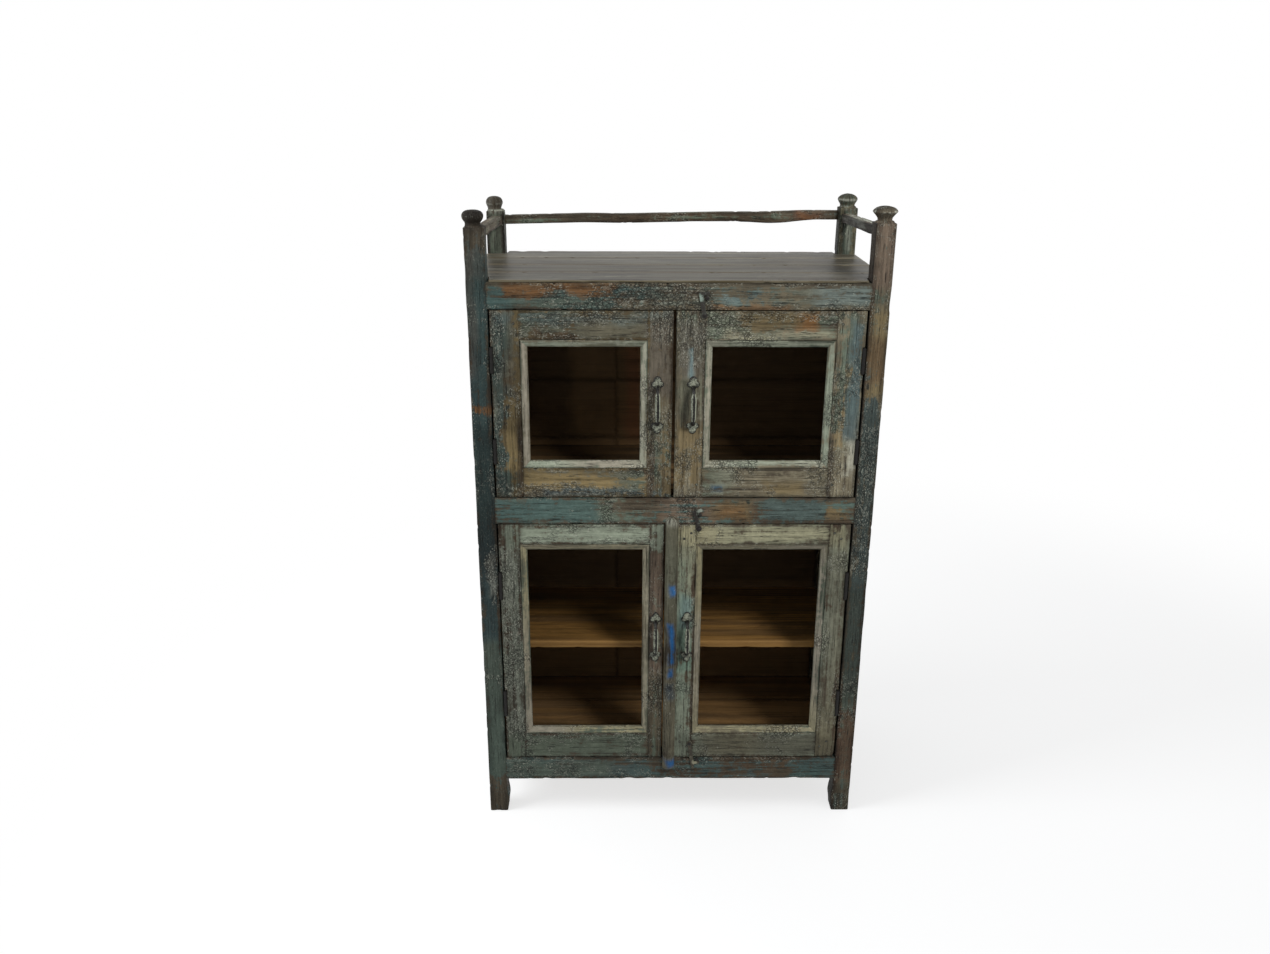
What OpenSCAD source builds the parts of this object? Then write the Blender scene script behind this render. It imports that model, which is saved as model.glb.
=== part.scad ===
// Free-standing glazed cabinet with a gallery top: four posts, an upper and a lower pair of doors.
// X runs to the right, Y to the back, Z up. The floor is at Z = 0.

/* [Overall] */
// Width over the posts
cabinet_w = 900; // [800:10:1000]
// Depth over the posts
cabinet_d = 440; // [380:10:500]
// Side of each square post
post_w = 44; // [38:1:52]
// Height of the front left post's shoulder above the top boards
front_left_post_rise = 108; // [80:1:150]
// Height of the front right post's shoulder above the top boards
front_right_post_rise = 119; // [80:1:150]
// Height of the back left post's shoulder above the top boards
back_left_post_rise = 100; // [80:1:150]
// Height of the back right post's shoulder above the top boards
back_right_post_rise = 110; // [80:1:150]

/* [Post knobs] */
// Diameter of the front left post's carved knob
front_left_knob_d = 47; // [40:1:56]
// Diameter of the front right post's carved knob
front_right_knob_d = 54; // [46:1:60]
// Diameter of the back left post's carved knob
back_left_knob_d = 42; // [38:1:50]
// Diameter of the back right post's carved knob
back_right_knob_d = 50; // [44:1:58]
// How far the front knobs stand out sideways over their posts
front_knob_overhang = 5; // [3:0.5:6]
// How far the back knobs stand out sideways over their posts
back_knob_overhang = 2; // [0:0.5:3]
// Height of each knob above its post's shoulder
knob_h = 34; // [28:1:44]
// Diameter of the neck under the knob
neck_d = 34; // [26:1:38]
// Height of the neck
neck_h = 5; // [3:1:8]
// Height of the rounded shoulder that the neck rises from
shoulder_h = 4; // [2:1:8]
// Step between the post's faces and the foot of the rounded shoulder
shoulder_inset = 1; // [0.5:0.5:2]

/* [Frame rails] */
// Height of the bottom rail's lower edge above the floor
bottom_rail_z = 93; // [70:1:120]
// Height of the bottom rail
bottom_rail_h = 62; // [50:1:80]
// Height of the lower doors' opening
lower_opening_h = 622; // [600:1:640]
// Height of the middle rail
middle_rail_h = 64; // [50:1:72]
// Height of the upper doors' opening
upper_opening_h = 426; // [410:1:440]
// Height of the top rail, without the edge of the top boards
top_rail_h = 58; // [50:1:64]
// Thickness of the front rails
rail_t = 30; // [24:1:34]
// How far the front rails and the doors stand behind the posts' front faces
face_setback = 1; // [0:0.5:3]
// Thickness of the side and back rails
back_rail_t = 22; // [18:1:26]
// Thickness of the tenons on the frame rails
frame_tenon_t = 12; // [8:1:14]
// Length of the tenons of the front and back rails
front_tenon_l = 24; // [16:1:30]
// Length of the tenons of the side rails
side_tenon_l = 16; // [10:1:18]
// Step above and below each tenon
tenon_step = 8; // [5:1:12]
// Space left at the end of each mortise
mortise_gap = 1; // [0.5:0.5:2]

/* [Boards] */
// Thickness of the top boards
top_board_t = 16; // [14:1:22]
// Thickness of the lip of the top boards over the front rail
top_lip_t = 5; // [3:0.5:8]
// Number of top boards
top_board_count = 4; // [3:1:5]
// Thickness of the floor boards in both compartments
floor_board_t = 16; // [12:1:20]
// How far the floors lie under the upper edge of the rail in front
floor_drop = 6; // [2:1:12]
// Number of boards in each floor
floor_board_count = 3; // [2:1:5]
// Thickness of the side boards
side_board_t = 10; // [8:1:12]
// Number of boards in each side
side_board_count = 8; // [6:1:10]
// Thickness of the back boards
back_board_t = 10; // [8:1:12]
// Number of board rows in the back
back_board_count = 8; // [6:1:10]
// Place of the upright joint between the two lengths of each back board
back_joint_x = -136; // [-200:1:200]
// Gap between neighbouring boards
board_gap = 0.6; // [0.4:0.1:1.5]

/* [Shelf] */
// Height of the shelf's upper face above the floor
shelf_top_z = 425; // [350:5:500]
// Thickness of the shelf
shelf_t = 18; // [14:1:24]
// Distance of the shelf's front edge behind the posts' front faces
shelf_front = 100; // [60:5:140]
// Height of the cleats under the floors and the shelf
cleat_h = 20; // [14:1:26]
// Thickness of the cleats
cleat_t = 20; // [14:1:22]

/* [Gallery] */
// Height of the gallery rails
gallery_rail_h = 22; // [16:1:26]
// Thickness of the gallery rails
gallery_rail_t = 24; // [16:1:28]
// How far the gallery side rails stand out from the posts' inner faces
gallery_inset = 5; // [3:1:8]
// Depth to which the gallery rails enter the posts
gallery_tenon_l = 10; // [6:1:12]
// How far the middle of the left gallery rail lies under the front post's shoulder
left_gallery_front_drop = 14; // [13:1:40]
// How far the middle of the left gallery rail lies under the back post's shoulder
left_gallery_back_drop = 21; // [13:1:40]
// How far the middle of the right gallery rail lies under the front post's shoulder
right_gallery_front_drop = 19; // [13:1:40]
// How far the middle of the right gallery rail lies under the back post's shoulder
right_gallery_back_drop = 23; // [13:1:40]
// How far the middle of the back gallery rail lies under the left post's shoulder
back_gallery_left_drop = 22; // [13:1:40]
// How far the middle of the back gallery rail lies under the right post's shoulder
back_gallery_right_drop = 19; // [13:1:40]
// Distance of the back gallery rail from the posts' back faces
back_gallery_setback = 2; // [0:1:4]
// How far the hand-hewn back gallery rail bulges downwards
gallery_bulge = 6; // [0:1:10]
// Place of that bulge
gallery_bulge_x = 250; // [100:10:300]
// Length of that bulge
gallery_bulge_l = 220; // [120:10:230]

/* [Doors] */
// Thickness of the doors
door_t = 24; // [22:1:30]
// Gap between the doors' hinge edges and the posts
hinge_gap = 3; // [2.8:0.1:4]
// Gap above and below each door
door_gap = 1.5; // [1:0.5:3]
// Gap between the two upper doors
upper_meeting_gap = 6; // [3:0.5:8]
// Middle of the gap between the upper doors
upper_meeting_x = -7; // [-30:1:30]
// Gap between the lower left door and the half-round strip
lower_meeting_gap = 4; // [3:0.5:8]
// Width of the upper doors' hinge stiles
upper_hinge_stile = 63; // [50:1:70]
// Width of the upper left door's meeting stile
upper_left_meeting_stile = 55; // [45:1:70]
// Width of the upper right door's meeting stile
upper_right_meeting_stile = 63; // [50:1:75]
// Height of the upper doors' top rails
upper_door_top_rail = 64; // [50:1:80]
// Height of the upper doors' bottom rails
upper_door_bottom_rail = 69; // [50:1:85]
// Width of the lower doors' hinge stiles
lower_hinge_stile = 49; // [40:1:60]
// Width of the lower left door's meeting stile
lower_left_meeting_stile = 32; // [30:1:45]
// Width of the lower right door's meeting stile, with the part under the half-round strip
lower_right_meeting_stile = 71; // [60:1:85]
// Height of the lower doors' top rails
lower_door_top_rail = 49; // [42:1:60]
// Height of the lower doors' bottom rails
lower_door_bottom_rail = 68; // [50:1:80]
// Thickness of the tenons on the door rails
door_tenon_t = 8; // [6:1:9]
// Length of the tenons on the door rails
door_tenon_l = 24; // [15:1:26]
// Side of the square strips that stop the doors
door_stop = 10; // [8:1:14]
// Gap between a closed door and its stops
door_stop_gap = 0.5; // [0.3:0.1:1]

/* [Glazing] */
// Thickness of the glass
glass_t = 3; // [2:0.5:4]
// Width of the bead round the glass
bead_w = 16; // [12:1:20]
// Depth of the bead in front of the glass
bead_depth = 11; // [9:1:12]
// How far the bead's face lies behind the door's face
bead_setback = 1; // [0.5:0.5:2]
// Width of the flat along the bead's outer edge
bead_flat = 3; // [1:1:6]
// Thickness of the bead at its inner edge
bead_edge_t = 4; // [2:0.5:6]
// Width of the lip that the glass rests against
lip_w = 10; // [6:1:12]
// Half of the gap in each mitre of the bead
mitre_gap = 0.1; // [0.05:0.05:0.3]
// Clearance between the edge of the glass and the door frame
glass_clearance = 1; // [0.5:0.5:2]

/* [Half-round strip] */
// Width of the strip
strip_w = 30; // [24:1:32]
// How far the strip stands in front of the door's face
strip_proud = 18; // [12:1:20]
// Middle of the strip
strip_x = -6; // [-20:1:20]
// How far the strip laps over the middle rail
strip_lap_top = 20; // [16:1:30]
// How far the strip laps over the bottom rail
strip_lap_bottom = 25; // [16:1:35]
// Clearance between the strip and the rails that it laps over
strip_clearance = 0.5; // [0.3:0.1:1]

/* [Handles] */
// Length of each handle over its two leaves
handle_l = 130; // [110:1:150]
// Distance from the door's face to the front of the handle
handle_proud = 29; // [24:1:36]
// Diameter of the handle's bar
handle_bar_d = 9; // [6:0.5:12]
// Radius of the bar's bends, to its middle line
handle_bend_r = 11; // [8:1:13]
// Width of the leaf at each end of a handle
leaf_w = 27; // [22:1:28]
// Length of that leaf
leaf_l = 30; // [28:1:34]
// Thickness of that leaf
leaf_t = 2.4; // [1.5:0.1:4]
// Middle of the upper left handle across the cabinet
upper_left_handle_x = -43; // [-44:1:-35]
// Middle of the upper right handle across the cabinet
upper_right_handle_x = 35; // [25:1:40]
// Middle of the lower left handle across the cabinet
lower_left_handle_x = -41; // [-42:1:-40]
// Middle of the lower right handle across the cabinet
lower_right_handle_x = 33; // [26:1:34]
// Middle height of the upper handles
upper_handle_z = 1058; // [1000:1:1100]
// Middle height of the lower handles
lower_handle_z = 490; // [400:1:560]

/* [Hinges] */
// Length of the upper doors' hinges
upper_hinge_h = 54; // [40:1:70]
// Length of the lower doors' hinges
lower_hinge_h = 66; // [45:1:80]
// Distance of the upper hinges' middles from the top and bottom of the door
upper_hinge_inset = 108; // [60:1:130]
// Distance of the lower hinges' middles from the top and bottom of the door
lower_hinge_inset = 153; // [80:1:200]
// Radius of the hinge knuckles
knuckle_r = 4; // [3.5:0.1:4.5]
// Radius of the hinge pins
hinge_pin_r = 2; // [1.5:0.1:2.2]
// Radial clearance of the pins in the knuckles
pin_clearance = 0.05; // [0.03:0.01:0.08]
// Thickness of the hinge leaves
hinge_leaf_t = 1.2; // [1:0.05:1.25]
// Depth of the hinge leaves along the door's edge
hinge_leaf_d = 20; // [16:1:21]
// Clearance between parts of the hinge that turn past each other
hinge_clearance = 0.5; // [0.3:0.1:0.6]
// Gap between neighbouring knuckles
knuckle_gap = 0.3; // [0.2:0.1:0.5]
// How far the head of a hinge pin stands out round the pin
pin_head_rim = 1.2; // [0.8:0.1:1.5]
// Height of the head at each end of a hinge pin
pin_head_h = 2; // [1:0.5:3]
// Space above and below each hinge in the door's notch
notch_gap = 1; // [0.5:0.5:2]

/* [Latches] */
// Place of the top latch's nail across the cabinet
top_latch_x = 55; // [45:1:70]
// Place of the middle latch's nail across the cabinet
middle_latch_x = 55; // [45:1:70]
// Place of the bottom latch's nail across the cabinet
bottom_latch_x = 45; // [42:1:46]
// Distance of the top and middle latch nails under the door's upper edge
upper_latch_nail_drop = 9; // [8:1:14]
// Distance of the bottom latch's nail above the door's lower edge
lower_latch_nail_rise = 40; // [30:1:50]
// Length of the top latch from its nail to its end
top_latch_l = 49; // [44:1:55]
// Length of the middle latch from its nail to its end
middle_latch_l = 46; // [44:1:55]
// Length of the bottom latch from its nail to its end
bottom_latch_l = 74; // [70:1:80]
// Distance from the bottom latch's nail to the outer side of its ear
bottom_latch_ear = 60; // [56:1:62]
// Lean of the top latch to the left at rest, in degrees
top_latch_lean = 10; // [4:1:16]
// Lean of the middle latch to the left at rest, in degrees
middle_latch_lean = 15; // [6:1:18]
// Lean of the bottom latch to the right at rest, in degrees
bottom_latch_lean = 8; // [0:1:9]
// Turn of each latch from rest until it lies against its catch pin, in degrees
latch_turn = 7; // [6:1:10]
// Width of the latch arms
latch_arm_w = 9; // [7:0.5:10]
// How far the round end of a latch stands out on each side of its arm
latch_round_rim = 2; // [1:0.5:3]
// Thickness of the latches
latch_t = 2.5; // [2:0.1:3]
// Reach of the ear from the middle of the arm
latch_ear_l = 15; // [12:1:18]
// Height of the ear
latch_ear_h = 7; // [5:1:9]
// Gap between the arm of a hooked latch and its catch pin
catch_arm_gap = 0.3; // [0.2:0.1:0.6]
// Gap between the ear of a hooked latch and the head of its catch pin
catch_ear_gap = 0.8; // [0.5:0.1:1.2]
// Clearance between the latches and the faces behind and in front of them
latch_clearance = 0.4; // [0.3:0.1:0.6]

/* [Nails and pins] */
// Radius of the latch nails and catch pins
latch_nail_r = 2; // [1.5:0.1:2.5]
// Radius of the heads on the latch nails and catch pins
latch_head_r = 4; // [3.5:0.1:5]
// Height of those heads
latch_head_h = 2; // [1.5:0.1:3]
// Depth of the latch nails and catch pins in the wood
latch_nail_depth = 14; // [10:1:18]
// Radius of the small nails
nail_r = 1.5; // [1:0.1:1.8]
// Radius of the small nails' heads
nail_head_r = 3; // [2.2:0.1:3.5]
// Height of the small nails' heads
nail_head_h = 0.8; // [0.5:0.1:0.9]
// Depth of the small nails in the wood
nail_depth = 16; // [10:1:18]
// Radial clearance round every nail
nail_clearance = 0.05; // [0.03:0.01:0.1]
// Distance of the outer joint nail from the edge of the door rail
joint_nail_inset = 12; // [8:1:16]
// Distance of the inner joint nail from the edge of the door rail
joint_nail_inset_2 = 28; // [24:1:34]
// Height of the outer joint nail outside the middle of the door rail
joint_nail_rise = 4; // [0:1:10]
// Height of the inner joint nail inside the middle of the door rail
joint_nail_rise_2 = 10; // [4:1:14]

/* [Colours] */
// Colour of the painted wood
paint = "#5f7372";
// Colour of the paler door frames
pale_paint = "#8a948a";
// Colour of the bare wood inside
bare_wood = "#6b4a2c";
// Colour of the top boards
board_wood = "#5b554e";
// Colour of the iron
iron = "#33322f";
// Colour of the glass
pane = "#8fa3a0";

/* [Hidden] */
$fn = 48;
// A small overlap that lets a cut pass right through a face
eps = 0.01;

// The knobs overhang the posts at the back and the handles stand in front, and Y = 0 is midway
back_reach = max(0, (max(back_left_knob_d, back_right_knob_d) - post_w) / 2);
front_reach = handle_proud - face_setback;
front_y = -(cabinet_d + back_reach - front_reach) / 2;

half_w = cabinet_w / 2;
post_face_x = half_w - post_w;
back_post_y = cabinet_d - post_w;

// Heights of the frame
lower_opening_z = bottom_rail_z + bottom_rail_h;
middle_rail_z = lower_opening_z + lower_opening_h;
upper_opening_z = middle_rail_z + middle_rail_h;
top_rail_z = upper_opening_z + upper_opening_h;
top_rail_top = top_rail_z + top_rail_h;
top_z = top_rail_top + top_lip_t;
board_seat_z = top_z - top_board_t;

// Heights of the posts at their shoulders
front_left_post_h = top_z + front_left_post_rise;
front_right_post_h = top_z + front_right_post_rise;
back_left_post_h = top_z + back_left_post_rise;
back_right_post_h = top_z + back_right_post_rise;

// Middle heights of each gallery rail at its two posts
left_gallery = [front_left_post_h - left_gallery_front_drop,
    back_left_post_h - left_gallery_back_drop];
right_gallery = [front_right_post_h - right_gallery_front_drop,
    back_right_post_h - right_gallery_back_drop];
back_gallery_ends = [back_left_post_h - back_gallery_left_drop,
    back_right_post_h - back_gallery_right_drop];

// Faces inside the frame
rail_back_y = face_setback + rail_t;
side_board_x = half_w - face_setback - back_rail_t;
inside_x = side_board_x - side_board_t;
back_rail_y = cabinet_d - face_setback - back_rail_t;
inside_back_y = back_rail_y - back_board_t;

// A door is [left, right, bottom, top, left stile, right stile, top rail, bottom rail]
upper_z = [upper_opening_z + door_gap, top_rail_z - door_gap];
lower_z = [lower_opening_z + door_gap, middle_rail_z - door_gap];
door_edge_x = post_face_x - hinge_gap;
strip_left = strip_x - strip_w / 2;
upper_left = [-door_edge_x, upper_meeting_x - upper_meeting_gap / 2, upper_z[0], upper_z[1],
    upper_hinge_stile, upper_left_meeting_stile, upper_door_top_rail, upper_door_bottom_rail];
upper_right = [upper_meeting_x + upper_meeting_gap / 2, door_edge_x, upper_z[0], upper_z[1],
    upper_right_meeting_stile, upper_hinge_stile, upper_door_top_rail, upper_door_bottom_rail];
lower_left = [-door_edge_x, strip_left - lower_meeting_gap, lower_z[0], lower_z[1],
    lower_hinge_stile, lower_left_meeting_stile, lower_door_top_rail, lower_door_bottom_rail];
lower_right = [strip_left, door_edge_x, lower_z[0], lower_z[1],
    lower_right_meeting_stile, lower_hinge_stile, lower_door_top_rail, lower_door_bottom_rail];

function opening_left(d) = d[0] + d[4];
function opening_right(d) = d[1] - d[5];
function opening_bottom(d) = d[2] + d[7];
function opening_top(d) = d[3] - d[6];
function top_rail_mid(d) = d[3] - d[6] / 2;
function bottom_rail_mid(d) = d[2] + d[7] / 2;

// Layers of a door, counted from its face
glass_y = bead_setback + bead_depth;
lip_y = glass_y + glass_t;
door_tenon_y = (door_t - door_tenon_t) / 2;

// Hinges: [height of the middle, length]
upper_hinges = [[upper_z[0] + upper_hinge_inset, upper_hinge_h],
    [upper_z[1] - upper_hinge_inset, upper_hinge_h]];
lower_hinges = [[lower_z[0] + lower_hinge_inset, lower_hinge_h],
    [lower_z[1] - lower_hinge_inset, lower_hinge_h]];
all_hinges = concat(upper_hinges, lower_hinges);
hinge_axis_x = knuckle_r + hinge_clearance;
knuckle_bore_r = hinge_pin_r + pin_clearance;
pin_head_r = hinge_pin_r + pin_head_rim;
hinge_nail_y = (knuckle_r + hinge_leaf_d) / 2;

// Latches: [x of the nail, z of the nail, length, outer side of the ear, up or down, lean]
top_latch = [top_latch_x, upper_z[1] - upper_latch_nail_drop, top_latch_l, top_latch_l, 1,
    top_latch_lean];
middle_latch = [middle_latch_x, lower_z[1] - upper_latch_nail_drop, middle_latch_l,
    middle_latch_l, 1, middle_latch_lean];
bottom_latch = [bottom_latch_x, lower_z[0] + lower_latch_nail_rise, bottom_latch_l,
    bottom_latch_ear, -1, bottom_latch_lean];
latch_back_y = face_setback - latch_clearance;
latch_front_y = latch_back_y - latch_t;
latch_head_y = latch_front_y - latch_clearance;
latch_round_r = latch_arm_w / 2 + latch_round_rim;

// Place of the catch pin in the latch's own frame, with its arm along +Z, once it is hooked on
function catch_local(l) = [latch_arm_w / 2 + latch_nail_r + catch_arm_gap,
    l[3] - latch_ear_h - latch_head_r - catch_ear_gap];
// Angle of the arm once hooked on, from upright, with positive to the right
function hooked_angle(l) = l[4] > 0 ? latch_turn - l[5] : l[5] + latch_turn;
// Place of the catch pin on the front of the cabinet
function catch_place(l) = let (p = catch_local(l), a = hooked_angle(l)) [
    l[0] + p[0] * cos(a) + p[1] * sin(a),
    l[1] + l[4] * (p[1] * cos(a) - p[0] * sin(a))];

module placed() {
    translate([0, front_y, 0]) children();
}

module block(low, high) {
    translate(low) cube(high - low);
}

// Sets a child for the left side of the cabinet and its mirror image for the right side
module on_side(side) {
    if (side < 0) children();
    else mirror([1, 0, 0]) children();
}

// Rounded shoulder of a post, standing on Z = 0
module post_shoulder() {
    foot_r = post_w / 2 - shoulder_inset;
    neck_r = neck_d / 2;
    rotate_extrude() polygon(concat([[0, 0]],
        [for (a = [0:30:90]) [neck_r + (foot_r - neck_r) * cos(a), shoulder_h * sin(a)]],
        [[0, shoulder_h]]));
}

// Neck and carved knob of a post, with the neck's foot inside the shoulder
module knob(d) {
    neck_r = neck_d / 2;
    neck_top = shoulder_h + neck_h;
    wide_z = (neck_top + knob_h) / 2;
    rotate_extrude() polygon(concat([[0, 0], [neck_r, 0]],
        [for (a = [0:30:90])
            [neck_r + (d / 2 - neck_r) * sin(a), wide_z - (wide_z - neck_top) * cos(a)]],
        [for (a = [18:18:72]) [d / 2 * cos(a), wide_z + (knob_h - wide_z) * sin(a)]],
        [[0, knob_h]]));
}

// Square post standing on the floor, drawn for the left side with its outer face at X = 0
module post_blank(height, d, overhang) {
    block([0, 0, 0], [post_w, post_w, height]);
    translate([0, post_w / 2, height - eps]) {
        translate([post_w / 2, 0, 0]) post_shoulder();
        translate([d / 2 - overhang, 0, 0]) knob(d);
    }
}

// Heights of the three levels of rails: [lower edge, upper edge]
function rail_span(level, seat) = level == 0 ? [bottom_rail_z, lower_opening_z]
    : level == 1 ? [middle_rail_z, upper_opening_z] : [top_rail_z, seat];

// Rail between two posts along X, with its tenons
module cross_rail(span, y, t) {
    block([-post_face_x, y, span[0]], [post_face_x, y + t, span[1]]);
    cross_tenons(span, y, t, 0);
}

// Tenons of such a rail, or with a gap at their ends the mortises for them
module cross_tenons(span, y, t, end_gap) {
    reach = post_face_x + front_tenon_l + end_gap;
    middle = y + t / 2;
    for (side = [-1, 1])
        block([side < 0 ? -reach : post_face_x - eps, middle - frame_tenon_t / 2,
                span[0] + tenon_step],
            [side < 0 ? -post_face_x + eps : reach, middle + frame_tenon_t / 2,
                span[1] - tenon_step]);
}

// Rail between the front and the back post of the left side, with its tenons
module side_rail(span) {
    x = -half_w + face_setback;
    block([x, post_w, span[0]], [x + back_rail_t, back_post_y, span[1]]);
    side_tenons(span, 0);
}

module side_tenons(span, end_gap) {
    middle = -half_w + face_setback + back_rail_t / 2;
    for (end = [[post_w - side_tenon_l - end_gap, post_w + eps],
            [back_post_y - eps, back_post_y + side_tenon_l + end_gap]])
        block([middle - frame_tenon_t / 2, end[0], span[0] + tenon_step],
            [middle + frame_tenon_t / 2, end[1], span[1] - tenon_step]);
}

// Gallery rail of one side, drawn for the left, from its middle heights at the two posts
module side_gallery(heights) {
    y0 = post_w - gallery_tenon_l;
    y1 = back_post_y + gallery_tenon_l;
    slope = (heights[1] - heights[0]) / (back_post_y - post_w);
    z0 = heights[0] - slope * gallery_tenon_l;
    z1 = heights[1] + slope * gallery_tenon_l;
    h = gallery_rail_h / 2;
    x = -post_face_x - gallery_inset;
    translate([x - gallery_rail_t, 0, 0]) rotate([90, 0, 90])
        linear_extrude(gallery_rail_t)
            polygon([[y0, z0 - h], [y1, z1 - h], [y1, z1 + h], [y0, z0 + h]]);
}

module back_gallery() {
    reach = post_face_x + gallery_tenon_l;
    slope = (back_gallery_ends[1] - back_gallery_ends[0]) / (2 * post_face_x);
    middle = (back_gallery_ends[0] + back_gallery_ends[1]) / 2;
    h = gallery_rail_h / 2;
    bulge = [for (a = [-180:60:180])
        let (x = gallery_bulge_x + gallery_bulge_l * a / 360)
        [x, middle + slope * x - h - gallery_bulge * (1 + cos(a)) / 2]];
    translate([0, cabinet_d - back_gallery_setback, 0]) rotate([90, 0, 0])
        linear_extrude(gallery_rail_t)
            polygon(concat([[-reach, middle - slope * reach - h]], bulge,
                [[reach, middle + slope * reach - h], [reach, middle + slope * reach + h],
                    [-reach, middle - slope * reach + h]]));
}

// All that is let into the posts, in the cabinet's place
module post_joints() {
    for (level = [0:2]) {
        cross_tenons(rail_span(level, top_rail_top), face_setback, rail_t, mortise_gap);
        cross_tenons(rail_span(level, board_seat_z), back_rail_y, back_rail_t, mortise_gap);
        for (side = [-1, 1])
            on_side(side) side_tenons(rail_span(level, board_seat_z), mortise_gap);
    }
    on_side(-1) side_gallery(left_gallery);
    on_side(1) side_gallery(right_gallery);
    back_gallery();
    for (side = [-1, 1]) on_side(side) for (h = all_hinges) frame_leaf_nails(h, nail_clearance);
}

module post(side, y, height, d, overhang) {
    placed() color(paint) difference() {
        on_side(side) translate([-half_w, y, 0]) post_blank(height, d, overhang);
        post_joints();
    }
}

module front_left_post() {
    post(-1, 0, front_left_post_h, front_left_knob_d, front_knob_overhang);
}

module front_right_post() {
    post(1, 0, front_right_post_h, front_right_knob_d, front_knob_overhang);
}

module back_left_post() {
    post(-1, back_post_y, back_left_post_h, back_left_knob_d, back_knob_overhang);
}

module back_right_post() {
    post(1, back_post_y, back_right_post_h, back_right_knob_d, back_knob_overhang);
}

module front_rail(level) {
    placed() color(paint) difference() {
        cross_rail(rail_span(level, top_rail_top), face_setback, rail_t);
        for (l = [top_latch, middle_latch, bottom_latch]) catch_pin(l, nail_clearance);
    }
}

module top_front_rail() {
    front_rail(2);
}

module middle_front_rail() {
    front_rail(1);
}

module bottom_front_rail() {
    front_rail(0);
}

module back_rails() {
    placed() color(bare_wood) for (level = [0:2])
        cross_rail(rail_span(level, board_seat_z), back_rail_y, back_rail_t);
}

module left_side_rails() {
    placed() color(paint) for (level = [0:2]) side_rail(rail_span(level, board_seat_z));
}

module right_side_rails() {
    placed() color(paint) on_side(1)
        for (level = [0:2]) side_rail(rail_span(level, board_seat_z));
}

// Boards laid one above the other on the inner faces of the left side's rails
module side_boards() {
    rise = (board_seat_z - bottom_rail_z) / side_board_count;
    for (i = [0:side_board_count - 1])
        block([-side_board_x, post_w, bottom_rail_z + i * rise + (i > 0 ? board_gap : 0)],
            [-inside_x, back_post_y, bottom_rail_z + (i + 1) * rise]);
}

module left_side_boards() {
    placed() color(bare_wood) side_boards();
}

module right_side_boards() {
    placed() color(bare_wood) on_side(1) side_boards();
}

module back_boards() {
    rise = (board_seat_z - bottom_rail_z) / back_board_count;
    placed() color(bare_wood)
        for (i = [0:back_board_count - 1], span = [[-post_face_x, back_joint_x],
                [back_joint_x + board_gap, post_face_x]])
            block([span[0], inside_back_y, bottom_rail_z + i * rise + (i > 0 ? board_gap : 0)],
                [span[1], back_rail_y, bottom_rail_z + (i + 1) * rise]);
}

// Cuts a slab between two depths into boards that run across the cabinet
module boards(y0, y1, count) {
    step = (y1 - y0) / count;
    for (i = [0:count - 1])
        intersection() {
            children();
            block([-cabinet_w, y0 + i * step + (i > 0 ? board_gap : 0), 0],
                [cabinet_w, y0 + (i + 1) * step, 2 * top_z]);
        }
}

module top_boards() {
    placed() color(board_wood) boards(face_setback, cabinet_d - face_setback, top_board_count) {
        union() {
            block([-half_w, post_w, board_seat_z], [half_w, back_post_y, top_z]);
            block([-post_face_x, rail_back_y, board_seat_z],
                [post_face_x, cabinet_d - face_setback, top_z]);
            block([-post_face_x, face_setback, top_rail_top],
                [post_face_x, rail_back_y + eps, top_z]);
        }
    }
}

// A floor or shelf from a given depth to the back, notched round the posts
module inside_slab(front, top, t) {
    block([-inside_x, max(front, post_w), top - t], [inside_x, back_post_y, top]);
    block([-post_face_x, front, top - t], [post_face_x, inside_back_y, top]);
}

module upper_floor_boards() {
    placed() color(bare_wood) boards(rail_back_y, inside_back_y, floor_board_count)
        inside_slab(rail_back_y, upper_opening_z - floor_drop, floor_board_t);
}

module lower_floor_boards() {
    placed() color(bare_wood) boards(rail_back_y, inside_back_y, floor_board_count)
        inside_slab(rail_back_y, lower_opening_z - floor_drop, floor_board_t);
}

module lower_shelf() {
    placed() color(bare_wood) inside_slab(shelf_front, shelf_top_z, shelf_t);
}

module support_cleats() {
    placed() color(bare_wood) for (side = [-1, 1]) on_side(side)
        for (c = [[lower_opening_z - floor_drop - floor_board_t, post_w],
                [shelf_top_z - shelf_t, max(shelf_front, post_w)],
                [upper_opening_z - floor_drop - floor_board_t, post_w]])
            block([-inside_x, c[1], c[0] - cleat_h], [-inside_x + cleat_t, back_post_y, c[0]]);
}

// Strips under and over the rails that the closed doors meet
module door_stops() {
    y = face_setback + door_t + door_stop_gap;
    placed() color(bare_wood)
        for (z = [lower_opening_z, middle_rail_z - door_stop, upper_opening_z,
                top_rail_z - door_stop])
            block([-post_face_x, y, z], [post_face_x, y + door_stop, z + door_stop]);
}

module left_gallery_rail() {
    placed() color(paint) side_gallery(left_gallery);
}

module right_gallery_rail() {
    placed() color(paint) on_side(1) side_gallery(right_gallery);
}

module back_gallery_rail() {
    placed() color(paint) back_gallery();
}

// A nail along +Y with the top of its head at Y = 0, or with a clearance the hole for it
module small_nail(clearance) {
    rotate([-90, 0, 0]) {
        translate([0, 0, -clearance]) cylinder(r = nail_head_r + clearance, h = nail_head_h + clearance);
        cylinder(r = nail_r + clearance, h = nail_depth + clearance);
    }
}

// The two nails of a frame leaf, drawn for the left side
module frame_leaf_nails(h, clearance) {
    for (z = [-1, 1])
        translate([-post_face_x + hinge_leaf_t, face_setback + hinge_nail_y, h[0] + z * h[1] / 4])
            rotate([0, 0, 90]) small_nail(clearance);
}

module door_leaf_nails(h, clearance) {
    for (z = [-1, 1])
        translate([-post_face_x + hinge_gap - hinge_leaf_t, face_setback + hinge_nail_y,
                h[0] + z * h[1] / 4])
            rotate([0, 0, -90]) small_nail(clearance);
}

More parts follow.
